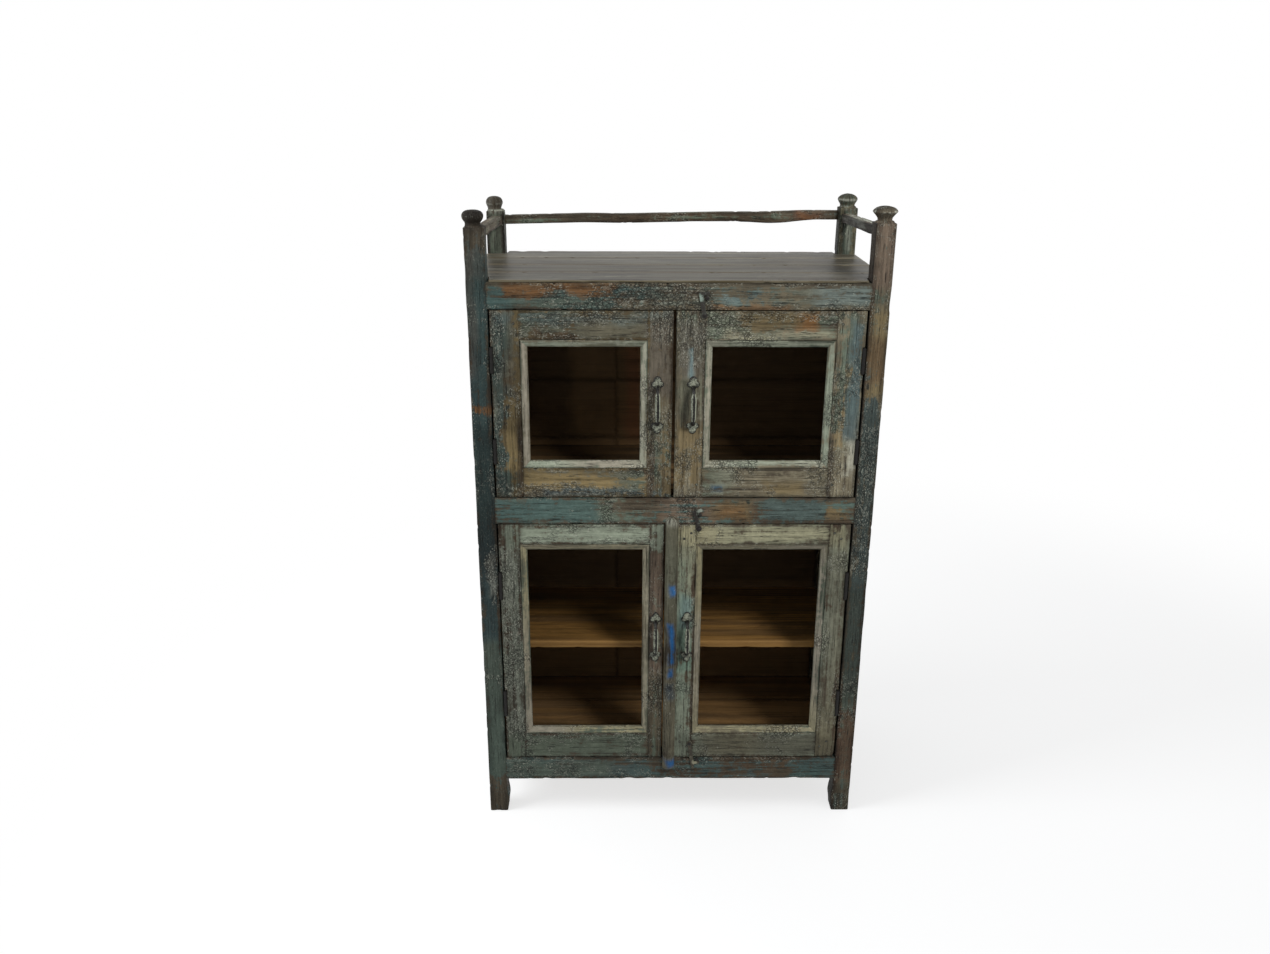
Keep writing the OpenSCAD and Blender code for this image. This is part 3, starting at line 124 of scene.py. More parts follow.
# Patches on the members, in the order in which they are laid on: x0, x1, z0, z1 in mm, then the tone and
# the strength of paint or bare wood, the amount of crackle, or the factor of a shade
PATCHES = {
    "front_left_post": [
        ("paint", (-455, -400, 1330, 1440, "purple_grey", 0.4)),
        ("bare", (-455, -400, 1395, 1440, "grey_brown", 0.6), (-455, -400, 1440, 1480, "dark_brown", 1.0),
         (-455, -385, 1043, 1062, "orange", 0.8)),
        ("paint", (-456, -432, 1120, 1400, "purple_grey", 0.5), (-455, -400, 1458, 1462, "cream", 0.7),
         (-455, -400, 100, 480, "grey_green", 0.6), (-424, -406, 600, 700, "cream", 0.45)),
        ("bare", (-455, -400, 0, 110, "grey_brown", 0.8)),
        ("crackle", (-428, -404, 560, 730, 0.9)),
        ("shade", (-455, -400, 1462, 1480, 0.55), (-455, -400, 660, 1020, 0.52), (-455, -400, 60, 500, 1.15)),
    ],
    "front_right_post": [
        ("bare", (400, 456, 1310, 1450, "rosy_grey", 0.9)),
        ("paint", (400, 456, 1468, 1473, "cream", 1.0)),
        ("bare", (400, 456, 1450, 1490, "grey_brown", 0.8), (415, 456, 1080, 1270, "tan", 0.75),
         (415, 456, 1110, 1200, "red_brown", 0.5)),
        ("paint", (400, 456, 690, 1060, "slate", 0.7), (400, 456, 315, 610, "grey_green", 0.4)),
        ("bare", (400, 456, 90, 285, "red_brown", 0.6), (400, 456, 0, 80, "dark_brown", 0.6)),
        ("crackle", (400, 456, 640, 1010, 0.95)),
        ("shade", (400, 456, 1473, 1490, 0.35), (400, 456, 1468, 1473, 1.3), (400, 456, 1050, 1490, 1.1),
         (400, 456, 300, 620, 0.7)),
    ],
    "back_left_post": [
        ("paint", (-440, -428, 1340, 1425, "sage", 0.6), (-455, -400, 1430, 1434, "cream", 0.5),
         (-455, -400, 1446, 1450, "cream", 0.35)),
        ("shade", (-448, -438, 1330, 1425, 0.4), (-430, -423, 1330, 1400, 0.45),
         (-416, -406, 1330, 1425, 0.4), (-455, -400, 1452, 1470, 0.7)),
    ],
    "back_right_post": [
        ("paint", (424, 434, 1340, 1430, "cream", 0.35), (400, 456, 1440, 1445, "cream", 0.5),
         (400, 456, 1456, 1461, "cream", 0.9)),
        ("shade", (404, 418, 1330, 1440, 0.42), (400, 456, 1462, 1480, 0.5)),
    ],
    "top_front_rail": [
        ("paint", (-410, -350, 1270, 1326, "teal", 0.8)),
        ("bare", (-375, -130, 1296, 1326, "orange", 0.75), (-130, 60, 1268, 1326, "grey_brown", 0.4),
         (80, 260, 1278, 1322, "greige", 0.5), (70, 235, 1266, 1281, "orange", 0.55)),
        ("paint", (85, 175, 1286, 1312, "sky", 0.45), (290, 410, 1272, 1326, "sky", 0.45),
         (-350, -140, 1268, 1290, "grey_green", 0.6)),
        ("crackle", (-160, 70, 1268, 1328, 0.95)),
        ("shade", (-375, -130, 1296, 1326, 0.8)),
    ],
    "middle_front_rail": [
        ("paint", (-410, -170, 780, 838, "teal", 0.8)),
        ("bare", (-170, -30, 780, 838, "grey_brown", 0.35), (-30, 100, 780, 838, "rosy_grey", 0.5),
         (80, 165, 790, 828, "tan", 0.4), (105, 150, 796, 816, "orange", 0.4)),
        ("paint", (190, 340, 780, 838, "slate", 0.7)),
        ("bare", (340, 390, 792, 822, "tan", 0.5)),
        ("crackle", (-190, 60, 780, 840, 0.5)),
    ],
    "bottom_front_rail": [
        ("paint", (-410, -150, 93, 150, "grey_green", 0.6)),
        ("bare", (-40, 60, 93, 150, "dark_brown", 0.5), (120, 300, 93, 150, "brown", 0.4)),
        ("crackle", (-410, -40, 93, 156, 0.55)),
    ],
    "back_gallery_rail": [
        ("bare", (300, 368, 1395, 1432, "red_brown", 0.8), (310, 360, 1405, 1425, "orange", 0.4)),
        ("paint", (374, 408, 1395, 1432, "sky", 0.6), (-410, -200, 1390, 1425, "grey_green", 0.5)),
    ],
    "right_gallery_rail": [
        ("paint", (404, 445, 1360, 1450, "cream", 0.55)),
    ],
    "upper_left_door": [
        ("paint", (-404, -366, 850, 1258, "teal", 0.8), (-400, -14, 1240, 1262, "sky", 0.35)),
        ("bare", (-380, -350, 905, 1070, "tan", 0.8), (-312, -210, 1203, 1232, "brown", 0.9),
         (-338, -136, 860, 898, "tan", 0.75)),
        ("paint", (-210, -75, 1200, 1240, "greige", 0.5), (-300, -20, 844, 862, "slate_blue", 0.7),
         (-70, -12, 1070, 1240, "purple_grey", 0.7)),
        ("bare", (-70, -18, 860, 1000, "grey_brown", 0.6)),
        ("crackle", (-330, -14, 1240, 1265, 0.85), (-404, -378, 850, 1258, 0.75), (-400, -20, 843, 868, 1.0),
         (-66, -14, 1190, 1262, 0.8)),
        ("shade", (-385, -345, 1000, 1200, 0.595), (-410, -345, 843, 900, 0.55), (-340, -60, 850, 905, 1.45),
         (-70, -12, 850, 1260, 1.35), (-400, -180, 1204, 1262, 0.78), (-350, -338, 905, 1200, 0.75),
         # Painted shadow of the handle, on its left
         (-64, -50, 1000, 1112, 0.55)),
    ],
    "upper_right_door": [
        ("paint", (-4, 62, 1115, 1246, "purple_grey", 0.7), (27, 34, 1118, 1184, "sky", 1.0)),
        ("bare", (0, 55, 862, 1020, "tan", 0.55), (130, 300, 1226, 1262, "tan", 0.7),
         (258, 298, 1220, 1258, "orange", 0.8)),
        ("paint", (100, 330, 1200, 1222, "greige", 0.6), (366, 404, 980, 1236, "slate_blue", 0.65)),
        ("bare", (352, 374, 955, 1150, "tan", 0.6), (200, 285, 850, 884, "tan", 0.65)),
        ("paint", (382, 404, 898, 978, "cream", 0.5), (82, 135, 852, 908, "sage", 0.5),
         (82, 106, 858, 870, "blue", 0.8)),
        ("crackle", (60, 345, 1238, 1264, 0.9), (-4, 55, 1130, 1264, 0.85), (60, 345, 843, 876, 0.85)),
        ("shade", (130, 345, 1225, 1262, 0.58), (70, 345, 1200, 1224, 1.6), (365, 404, 980, 1262, 0.85),
         # The last shade is a painted shadow of the handle, on its left
         (345, 384, 843, 990, 1.15), (12, 28, 1000, 1112, 0.42)),
    ],
    "lower_left_door": [
        ("paint", (-400, -34, 722, 774, "sage", 0.7), (-404, -354, 225, 715, "cream", 0.25)),
        ("bare", (-60, -24, 380, 710, "rosy_grey", 0.75), (-60, -24, 160, 400, "greige", 0.6)),
        ("paint", (-400, -24, 157, 224, "grey_green", 0.6)),
        ("crackle", (-404, -352, 225, 774, 0.85), (-350, -50, 724, 745, 0.8), (-400, -24, 196, 226, 0.8),
         (-60, -24, 225, 720, 0.62)),
        # The last shade is a painted shadow of the handle, on its left
        ("shade", (-360, -50, 724, 774, 1.7), (-404, -354, 225, 715, 0.75), (-60, -47, 430, 548, 0.55)),
    ],
    "lower_right_door": [
        ("paint", (10, 400, 722, 774, "olive", 0.7), (12, 46, 400, 590, "turquoise", 0.45),
         (12, 28, 318, 690, "turquoise", 0.15), (14, 44, 515, 590, "sky", 0.5),
         (350, 402, 225, 715, "grey_brown", 0.5), (70, 402, 157, 224, "brown", 0.5)),
        ("crackle", (350, 402, 225, 774, 0.62)),
        # The last shade is a painted shadow of the handle, on its left
        ("shade", (14, 350, 724, 774, 1.35), (14, 402, 156, 222, 0.62), (12, 26, 430, 545, 0.5)),
    ],
    # Painted light and shade seen through the windows, laid on the back wall: a painted shadow along the top,
    # painted shade over the left of the upper left compartment, the upper right one and the lower one, and a
    # painted warm reflection behind the upper left door
    "back_boards": [
        ("bare", (-420, 420, 1190, 1330, "painted_shadow_black", 0.8), (-240, -95, 850, 1170, "inside_brown", 0.9),
         (-110, -20, 850, 1290, "painted_reflection_brown", 0.65), (-420, -250, 850, 1200, "inside_dark", 0.8),
         (0, 420, 850, 1330, "inside_dark", 0.75), (-420, 420, 440, 800, "inside_dark", 0.8)),
        ("shade", (-110, -20, 850, 1150, 1.15), (-420, 420, 150, 800, 0.72)),
    ],
    # Painted light: the right half of the shelf is made brighter
    "shelf": [
        ("shade", (0, 420, 380, 450, 1.25)),
    ],
    "strip": [
        ("paint", (-12, 0, 425, 535, "ultramarine", 1.0), (-11, -1, 390, 412, "ultramarine", 0.9),
         (-12, 5, 330, 372, "blue", 0.5), (-11, 1, 604, 634, "ultramarine", 0.85),
         (-15, 6, 137, 162, "ultramarine", 1.0), (-24, 12, 782, 800, "cream", 0.5)),
        ("shade", (-24, 12, 130, 600, 0.72)),
    ],
}


def tone(name):
    """Scene-linear red, green and blue of a named tone, or of a colour written as on screen."""
    code = TONES.get(name, name)
    parts = [int(code[i:i + 2], 16) / 255 for i in (1, 3, 5)]
    return np.array([p / 12.92 if p <= 0.04045 else ((p + 0.055) / 1.055) ** 2.4 for p in parts])


def rgba(name):
    return (*tone(name), 1.0)


def toward(value, target, share):
    return value + (target - value) * share


def smooth(value, low, high):
    share = np.clip((value - low) / (high - low), 0, 1)
    return share * share * (3 - 2 * share)


# Noise on arrays of points

def hashed(cells, seed):
    """A fixed pseudo-random number from 0 to 1 for each row of whole numbers."""
    mixed = cells[..., 0] * 374761393 + cells[..., 1] * 668265263 + cells[..., 2] * 1442695041
    mixed = mixed + seed * 1274126177
    mixed = (mixed ^ (mixed >> 13)) * 1274126177
    return ((mixed ^ (mixed >> 16)) & 0xFFFF) / 65535.0


def noise(points, size, seed=0):
    """Smooth noise from -1 to 1, with features of about that size in metres."""
    scaled = np.asarray(points) / np.asarray(size)
    cell = np.floor(scaled).astype(np.int64)
    share = smooth(scaled - cell, 0, 1)
    total = np.zeros(scaled.shape[:-1])
    for corner in itertools.product((0, 1), repeat=3):
        weight = np.prod(np.where(np.array(corner) == 1, share, 1 - share), axis=-1)
        total += weight * hashed(cell + np.array(corner), seed)
    return 2 * total - 1


# Parts, as swept outlines with the coordinates that their materials need

def run_along(places):
    """Distance from the first of a line of points to each of them."""
    return np.concatenate([[0], np.cumsum(np.linalg.norm(np.diff(places, axis=0), axis=1))])


def circle(sides):
    return 2 * math.pi * np.arange(sides) / sides


def tube_faces(rings, sides, flip=False):
    """Quads between rings of points, and one face at each end, turned over where flip says so."""
    near = np.arange((rings - 1) * sides)
    other = near - near % sides + (near + 1) % sides
    faces = np.stack([near, other, other + sides, near + sides], axis=-1).tolist()
    faces.append(list(reversed(range(sides))))
    faces.append(list(range((rings - 1) * sides, rings * sides)))
    return [face[::-1] for face in faces] if flip else faces


def sweep(verts, normals, edge, along, around, seed, wear=1.0, flip=False):
    """Joins rings of points to a part of wood, worn inwards most at its edges."""
    rings, sides = verts.shape[:2]
    verts = verts.reshape(-1, 3)
    normals = np.broadcast_to(normals, (rings, sides, 3)).reshape(-1, 3)
    edge, along, around = (np.broadcast_to(each, (rings, sides)).ravel() for each in (edge, along, around))
    grain = np.stack([along, around, np.full(len(verts), 3.7 * seed)], axis=-1)
    hewn = 0.00025 * (1 + noise(grain, (0.12, 0.02, 1.0), seed))
    hewn += 0.0003 * smooth(noise(verts, 0.09, seed + 5), 0.1, 0.9)
    chips = 0.0007 * smooth(noise(verts, 0.05, seed + 1), 0.0, 0.9)
    chips += 0.0022 * smooth(noise(verts, 0.012, seed + 2), 0.55, 0.9)
    chips += 0.0020 * smooth(noise(verts, 0.026, seed + 3), 0.60, 0.9)
    worn = verts - normals * (wear * (hewn + edge * chips))[:, None]
    return {"verts": worn, "normals": normals, "edge": edge, "grain": grain, "seed": seed,
            "faces": tube_faces(rings, sides, flip)}


def rounded_outline(width, depth, arris, step):
    """Section of a plank: places, outward normals and closeness to an arris."""
    edge_fade = 0.005
    radius = min(arris, 0.225 * width, 0.225 * depth)
    half = np.array([width / 2 - radius, depth / 2 - radius])
    corners = [half * sign for sign in ([1, 1], [-1, 1], [-1, -1], [1, -1])]
    rows = []
    for index, corner in enumerate(corners):
        for angle in np.radians(90 * index + 22.5 * np.arange(5)):
            normal = np.array([math.cos(angle), math.sin(angle)])
            rows.append([*(corner + radius * normal), *normal, 1.0])
        start, end = corner + radius * normal, corners[(index + 1) % 4] + radius * normal
        length = np.linalg.norm(end - start)
        count = max(1, round(length / step))
        for share in np.arange(1, count) / count:
            closeness = math.exp(-min(share, 1 - share) * length / edge_fade)
            rows.append([*toward(start, end, share), *normal, closeness])
    rows = np.array(rows)
    return rows[:, :2], rows[:, 2:4], rows[:, 4]


def spans(low, high, step=STEP, stops=()):
    """Stations from low to high, a step apart, with a few set places among them."""
    count = max(2, round((high - low) / step))
    places = np.concatenate([np.linspace(low, high, count + 1), [s for s in stops if low < s < high]])
    return np.unique(np.round(places, 6))


def plank(low, high, axis, seed, arris=0.0025, step=STEP, stops=(), wear=1.0, shape=None):
    """A plank that fills a box, with worn arrises; shape may move its points before the wear."""
    end_fade = 0.004
    low, high = np.array(low, float), np.array(high, float)
    across = [(axis + 1) % 3, (axis + 2) % 3]
    places, normals, edge = rounded_outline(*(high - low)[across], arris, step)
    lip = min(0.4 * arris, 0.0015)
    stations = spans(low[axis] + lip, high[axis] - lip, step, stops)
    stations = np.concatenate([[low[axis]], stations, [high[axis]]])
    inset = np.zeros((len(stations), 1, 1))
    inset[[0, -1]] = lip
    verts, directions = np.zeros((2, len(stations), len(places), 3))
    verts[..., axis] = stations[:, None]
    verts[..., across] = ((low + high) / 2)[across] + places - normals * inset
    directions[..., across] = normals
    from_end = np.minimum(stations - low[axis], high[axis] - stations)
    edge = np.maximum(edge, np.exp(-from_end / end_fade)[:, None])
    if shape:
        shape(verts)
    return sweep(verts, directions, edge, stations[:, None], run_along(places), seed, wear)


def revolve(profile, centre, seed, facets=0, facet_depth=0.0, wear=0.5):
    """A carved round piece about an upright axis, from radius and height pairs in metres."""
    angle = circle(40)
    corners = range(len(profile))
    fine = np.linspace(0, len(profile) - 1, 3 * (len(profile) - 1) + 1)
    radius, height = (np.interp(fine, corners, column) for column in np.transpose(profile))
    for line in (radius, height):
        for _ in range(2):
            line[1:-1] = np.convolve(line, [0.25, 0.5, 0.25], "valid")
    slope = np.gradient(radius) / np.maximum(np.abs(np.gradient(height)), 1e-4)
    lift = -slope / np.sqrt(1 + slope ** 2)
    carve = 1 - facet_depth * np.abs(np.sin(facets * angle / 2)) ** 0.7

    def turned(reach, rise):
        rise = np.broadcast_to(rise[:, None], reach.shape)
        return np.stack([reach * np.cos(angle), reach * np.sin(angle), rise], axis=-1)

    verts = turned(radius[:, None] * carve, height) + centre
    normals = turned(np.sqrt(1 - lift ** 2)[:, None] * np.ones(len(angle)), lift)
    return sweep(verts, normals, 0.3, centre[Z] + height[:, None], 0.02 * angle, seed, wear)


def dress(part, style_name, patch_name=None, bare_side=None, outer_side=None, shaded_side=None):
    """Gives each point of a part its paint and wood colours, from its member's style and patches.

    A bare side has no paint, an outer side is weathered grey-brown wood, and a shaded side gets painted
    shade: its tone is darkened to a fifth and it loses its crackle.
    """
    first, second, wood_a, wood_b, cover, crackle, depth = STYLES[style_name]
    verts, seed = part["verts"], part["seed"]

    def drifting(size, number, points=verts):
        return noise(points, size, seed + number)[:, None]

    def facing(side, least):
        return (part["normals"] @ np.array(side, float) > least)[:, None]

    depth = depth * (0.90 + 0.20 * hashed(np.array([[seed, 5, 9]]), 17))
    drift = drifting((0.16, 0.16, 0.22), 7)
    vary = drifting((0.30, 0.018, 1.0), 8, part["grain"])
    paint = toward(tone(first), tone(second), smooth(drift, -0.5, 0.6))
    wood = toward(tone(wood_a), tone(wood_b), smooth(vary, -0.4, 0.6))
    level = cover + 0.16 * drifting(0.09, 9)
    worn = crackle * (0.75 + 0.5 * drifting(0.13, 10))
    warp = 13.0 * np.hstack([drifting(0.045, 11), drifting(0.06, 12)])
    warp += 4.0 * np.hstack([drifting(0.012, 13), drifting(0.02, 14)])
    for kind, *patches in PATCHES.get(patch_name or style_name, ()):
        for x0, x1, z0, z1, target, *strength in patches:
            wide, tall = x1 - x0, z1 - z0
            margin = min(16.0, 0.42 * wide, 0.5 * tall)
            place = verts[:, [X, Z]] / MM + min(1.0, wide / 20, tall / 20) * warp
            inside = np.minimum(place - [x0, z0], [x1, z1] - place).min(axis=1)[:, None]
            weight = smooth(inside, -margin, margin) * (strength[0] if strength else 1.0)
            if kind == "shade":
                depth = depth * toward(1, target, weight)
            elif kind == "crackle":
                worn = toward(worn, target, weight)
            elif kind == "paint":
                paint = toward(paint, tone(target), weight)
                level = toward(level, 0.85, 0.7 * weight)
            else:
                wood = toward(wood, tone(target), weight)
                level = toward(level, 0.12, 0.9 * weight)
    # Painted shade on the shaded side: a fifth of the tone, and no crackle
    if shaded_side:
        painted_shade_mask = facing(shaded_side, 0.5)
        depth = np.where(painted_shade_mask, 0.2 * depth, depth)
        worn = np.where(painted_shade_mask, 0.0, worn)
    if outer_side:
        outside = facing(outer_side, 0.3)
        aged = toward(tone("grey_brown"), tone("dark_brown"), smooth(vary + drift, -0.9, 1.1))
        wood = np.where(outside, aged, wood)
        depth = np.where(outside, 0.95, depth)
        worn = np.where(outside, 1.0, worn)
    if bare_side:
        level = np.where(facing(bare_side, 0.5), -1.0, level)
    part["paint"] = np.hstack([paint * depth, level])
    part["wood"] = np.hstack([wood * depth, worn])
    return part


# Objects

def link(name, data):
    """Puts data in the scene as a new object."""
    obj = bpy.data.objects.new(name, data)
    bpy.context.scene.collection.objects.link(obj)
    return obj


def make(node, parts, slot, body="carcass", material=None, suffix="_worn"):
    """Joins parts into one object that rides on a body and stands for a node.

    It has its slot's material where none is given.
    """
    mesh = bpy.data.meshes.new(node + suffix)
    faces, start = [], 0
    for part in parts:
        faces += [[start + index for index in face] for face in part["faces"]]
        start += len(part["verts"])
    mesh.from_pydata(np.concatenate([part["verts"] for part in parts]).tolist(), [], faces)
    for label, kind, field in (("paint", "FLOAT_COLOR", "color"), ("wood", "FLOAT_COLOR", "color"),
                               ("grain", "FLOAT_VECTOR", "vector"), ("edge", "FLOAT", "value")):
        if label in parts[0]:
            data = np.concatenate([part[label].ravel() for part in parts]).astype(np.float32)
            mesh.attributes.new(label, kind, "POINT").data.foreach_set(field, data)
    mesh.polygons.foreach_set("use_smooth", [True] * len(mesh.polygons))
    mesh.set_sharp_from_angle(angle=math.radians(50))
    mesh.update()
    mesh.materials.append(material or MATERIALS[slot])
    obj = link(node + suffix, mesh)
    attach(obj, body)
    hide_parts(node)


def keep(node, material, bevel=0.0):
    """Finishes a CAD node that stays: its material, and a fine bevel on its edges."""
    obj = frame["nodes"][node]
    obj.data.materials.clear()
    obj.data.materials.append(material)
    if bevel:
        modifier = obj.modifiers.new("worn_edges", "BEVEL")
        modifier.width = bevel
        modifier.segments = 2
        modifier.limit_method = "ANGLE"


def solids(node):
    """Boxes of the separate solids of a CAD node: (lowest corner, highest corner)."""
    mesh = bmesh.new()
    mesh.from_mesh(frame["nodes"][node].data)
    bmesh.ops.remove_doubles(mesh, verts=mesh.verts, dist=1e-6)
    left = set(mesh.verts)
    boxes = []
    while left:
        island, front = [], [left.pop()]
        while front:
            vert = front.pop()
            island.append(tuple(vert.co))
            near = {edge.other_vert(vert) for edge in vert.link_edges} & left
            left -= near
            front += near
        boxes.append((np.min(island, axis=0), np.max(island, axis=0)))
    mesh.free()
    return sorted(boxes, key=lambda box: tuple(np.round(box[0], 4)))


# Materials

class Graph:
    """Builds the nodes of a material or a world with short calls."""

    def __init__(self, owner, output="OutputMaterial"):
        self.owner = owner
        owner.use_nodes = True
        self.tree = owner.node_tree
        self.tree.nodes.clear()
        self.output = self.node(output)

    def node(self, kind, inputs=None, **settings):
        made = self.tree.nodes.new("ShaderNode" + kind)
        for key, value in settings.items():
            setattr(made, key, value)
        for key, value in (inputs or {}).items():
            if isinstance(value, bpy.types.NodeSocket):
                self.tree.links.new(value, made.inputs[key])
            else:
                made.inputs[key].default_value = value
        return made

    def value(self, kind, inputs=None, output=0, **settings):
        """The output of a new node, its first one where none is named."""
        return self.node(kind, inputs, **settings).outputs[output]

    def place(self):
        return self.value("TexCoord", output="Object")

    def attribute(self, name, output):
        return self.value("Attribute", output=output, attribute_name=name)

    def noise(self, vector, scale, detail=3.0, roughness=0.5, distortion=0.0):
        return self.value("TexNoise", {"Vector": vector, "Scale": scale, "Detail": detail,
                                       "Roughness": roughness, "Distortion": distortion})

    def scaled(self, vector, along, across):
        return self.value("Mapping", {"Vector": vector, "Scale": (along, across, 1)})

    def streaks(self, grain, along, across, *settings):
        """Noise with so many features a metre along and across the grain."""
        return self.noise(self.scaled(grain, along, across), 1.0, *settings)

    def math(self, operation, first, second=0.0):
        return self.value("Math", {0: first, 1: second}, operation=operation)

    def times(self, first, second):
        return self.math("MULTIPLY", first, second)

    def most(self, first, *others):
        for other in others:
            first = self.math("MAXIMUM", first, other)
        return first

    def total(self, base, *terms):
        """base plus each socket times its factor, where a socket's middle value counts as nought."""
        for socket, middle, factor in terms:
            base = self.math("ADD", base, self.times(self.math("SUBTRACT", socket, middle), factor))
        return base

    def ramp(self, value, low, high, start=0.0, end=1.0):
        return self.value("MapRange", {"Value": value, "From Min": low, "From Max": high, "To Min": start,
                                       "To Max": end}, interpolation_type="SMOOTHSTEP")

    def mix(self, factor, first, second):
        return self.value("Mix", {0: factor, 6: first, 7: second}, 2, data_type="RGBA")

    def shade(self, colour, factor):
        return self.value("VectorMath", {0: colour, "Scale": factor}, operation="SCALE")

    def seen(self):
        """1 on what the camera sees, itself or in a reflection or through glass, and 0 elsewhere."""
        rays = self.node("LightPath").outputs
        return self.most(rays["Is Camera Ray"], rays["Is Glossy Ray"], rays["Is Transmission Ray"])

    def show(self, shader):
        self.tree.links.new(shader, self.output.inputs["Surface"])
        return self.owner

    def finish(self, colour, rough, specular, height, strength, distance, **more):
        """The material, with its relief of that strength and distance in metres."""
        bump = self.value("Bump", {"Height": height, "Strength": strength, "Distance": distance})
        sockets = {"Base Color": colour, "Roughness": rough, "Specular IOR Level": specular, "Normal": bump}
        return self.show(self.value("BsdfPrincipled", {**sockets, **more}))


def painted_wood(name, cell_length=0.0105, cell_width=0.0072, relief=0.0012):
    """Old rubbed paint over wood: streaky blends, fine alligator cracks, pale chips and dark crevices."""
    g = Graph(bpy.data.materials.new(name))
    place, grain, edge = g.place(), g.attribute("grain", "Vector"), g.attribute("edge", "Fac")
    paint, cover = g.attribute("paint", "Color"), g.attribute("paint", "Alpha")
    wood, worn = g.attribute("wood", "Color"), g.attribute("wood", "Alpha")
    fine = g.streaks(grain, 30, 700, 3.0, 0.6)
    streak = g.streaks(grain, 5, 130, 4.0, 0.6)
    lines = g.streaks(grain, 16, 330, 3.0, 0.65)
    ragged = g.noise(place, 60.0, 4.0, 0.7)
    broad = g.noise(place, 12.0)
    level = g.total(cover, (ragged, 0.5, 1.1), (streak, 0.5, 1.3), (broad, 0.5, 0.6), (edge, 0.15, -0.25))
    mask = g.ramp(level, 0.34, 0.64)
    zone = g.ramp(g.total(worn, (broad, 0.5, 2.2), (ragged, 0.5, 1.2), (edge, 0.15, 0.30)), 0.42, 0.85)
    # Alligator cracks: gaps between bent cells in some places, and a net of fine veins
    swirl = g.shade(g.value("TexNoise", {"Vector": place, "Scale": 160.0, "Detail": 1.0}, "Color"), 0.005)
    bent = g.value("VectorMath", {0: grain, 1: swirl}, operation="ADD")
    cells = {"Vector": g.scaled(bent, 1 / cell_length, 1 / cell_width), "Scale": 1.0}
    gaps = g.value("TexVoronoi", cells, "Distance", feature="DISTANCE_TO_EDGE")
    chance = g.value("SeparateColor", {"Color": g.value("TexVoronoi", cells, "Color")})
    veins = g.math("ABSOLUTE", g.math("SUBTRACT", g.streaks(grain, 62, 105, 3.0, 0.68, 0.9), 0.5))
    network = g.most(g.times(g.ramp(gaps, 0.02, 0.15, 1.0, 0.0), g.ramp(broad, 0.48, 0.62)),
                     g.ramp(veins, 0.0, 0.045, 1.0, 0.0))
    crack = g.times(network, zone)
    # Pale chips and flecks
    specks = g.streaks(grain, 110, 300, 3.0, 0.7)
    chips = g.times(g.ramp(g.total(chance, (specks, 0.5, 1.2)), 0.72, 0.95), zone)
    tiny = g.streaks(grain, 230, 430, 2.0, 0.6)
    flecks = g.times(g.ramp(tiny, 0.56, 0.66), g.ramp(zone, 0.0, 0.6, 0.10, 1.0))
    pale = g.most(g.times(chips, 0.22), g.times(flecks, 0.62))
    # Dark crevices, and grime near the edges that is partly painted shade where parts meet
    crevice = g.times(g.ramp(lines, 0.55, 0.64), g.ramp(ragged, 0.35, 0.58))
    grime_and_painted_shade = g.times(edge, g.ramp(broad, 0.40, 0.60, 0.50, 0.0))
    dark = g.most(g.times(crack, 0.85), g.times(crevice, 0.80), grime_and_painted_shade)
    wood_shade = g.total(1.0, (fine, 0.5, 1.2), (streak, 0.5, 2.2), (broad, 0.5, 0.8))
    paint_shade = g.total(1.0, (ragged, 0.5, 1.3), (streak, 0.5, 1.4), (fine, 0.5, 0.8), (broad, 0.5, 0.8))
    colour = g.mix(mask, g.shade(wood, wood_shade), g.shade(paint, paint_shade))
    colour = g.mix(dark, g.mix(pale, colour, rgba("cream")), rgba("black"))
    height = g.total(0.0, (mask, 0.0, 0.5), (crack, 0.0, -0.8), (crevice, 0.0, -0.8), (fine, 0.5, 0.8),
                     (streak, 0.5, 1.0), (pale, 0.0, 0.5), (ragged, 0.5, 0.8))
    rough = g.total(0.60, (mask, 0.5, -0.12), (ragged, 0.5, 0.4), (pale, 0.0, 0.15))
    return g.finish(colour, rough, 0.12, height, 0.8, relief)


def bare_wood(name, contrast=1.0, relief=0.0006, sheen=0.15, edge_tone="black", edge_share=0.55,
              streaks=60, roughness=0.55):
    """Plain old boards: broad figure, long streaks, fine grain and dark lines, with worn or grimy edges."""
    g = Graph(bpy.data.materials.new(name))
    grain, edge = g.attribute("grain", "Vector"), g.attribute("edge", "Fac")
    wood, lively = g.attribute("wood", "Color"), g.attribute("wood", "Alpha")
    fine = g.streaks(grain, 18, 600, 4.0, 0.6)
    streak = g.streaks(grain, 2.5, streaks, 4.0, 0.55, 0.6)
    rings = g.math("FRACT", g.times(g.streaks(grain, 3.5, 22, 2.0, 0.5, 1.2), 9.0))
    lines = g.streaks(grain, 4, 210, 2.0, 0.5, 0.3)
    marks = g.total(0.0, (streak, 0.5, 2.2 * contrast), (fine, 0.5, 1.2 * contrast),
                    (rings, 0.5, 0.35 * contrast))
    factor = g.math("ADD", 1.0, g.times(marks, lively))
    dark = g.times(g.times(g.ramp(lines, 0.53, 0.66), 0.6 * contrast), lively)
    colour = g.mix(dark, g.shade(wood, factor), rgba("black"))
    colour = g.mix(g.times(edge, edge_share), colour, rgba(edge_tone))
    height = g.total(0.0, (fine, 0.5, 1.0), (dark, 0.0, -0.6), (rings, 0.5, 0.2))
    return g.finish(colour, g.total(roughness, (streak, 0.5, 0.3)), sheen, height, 0.5, relief)


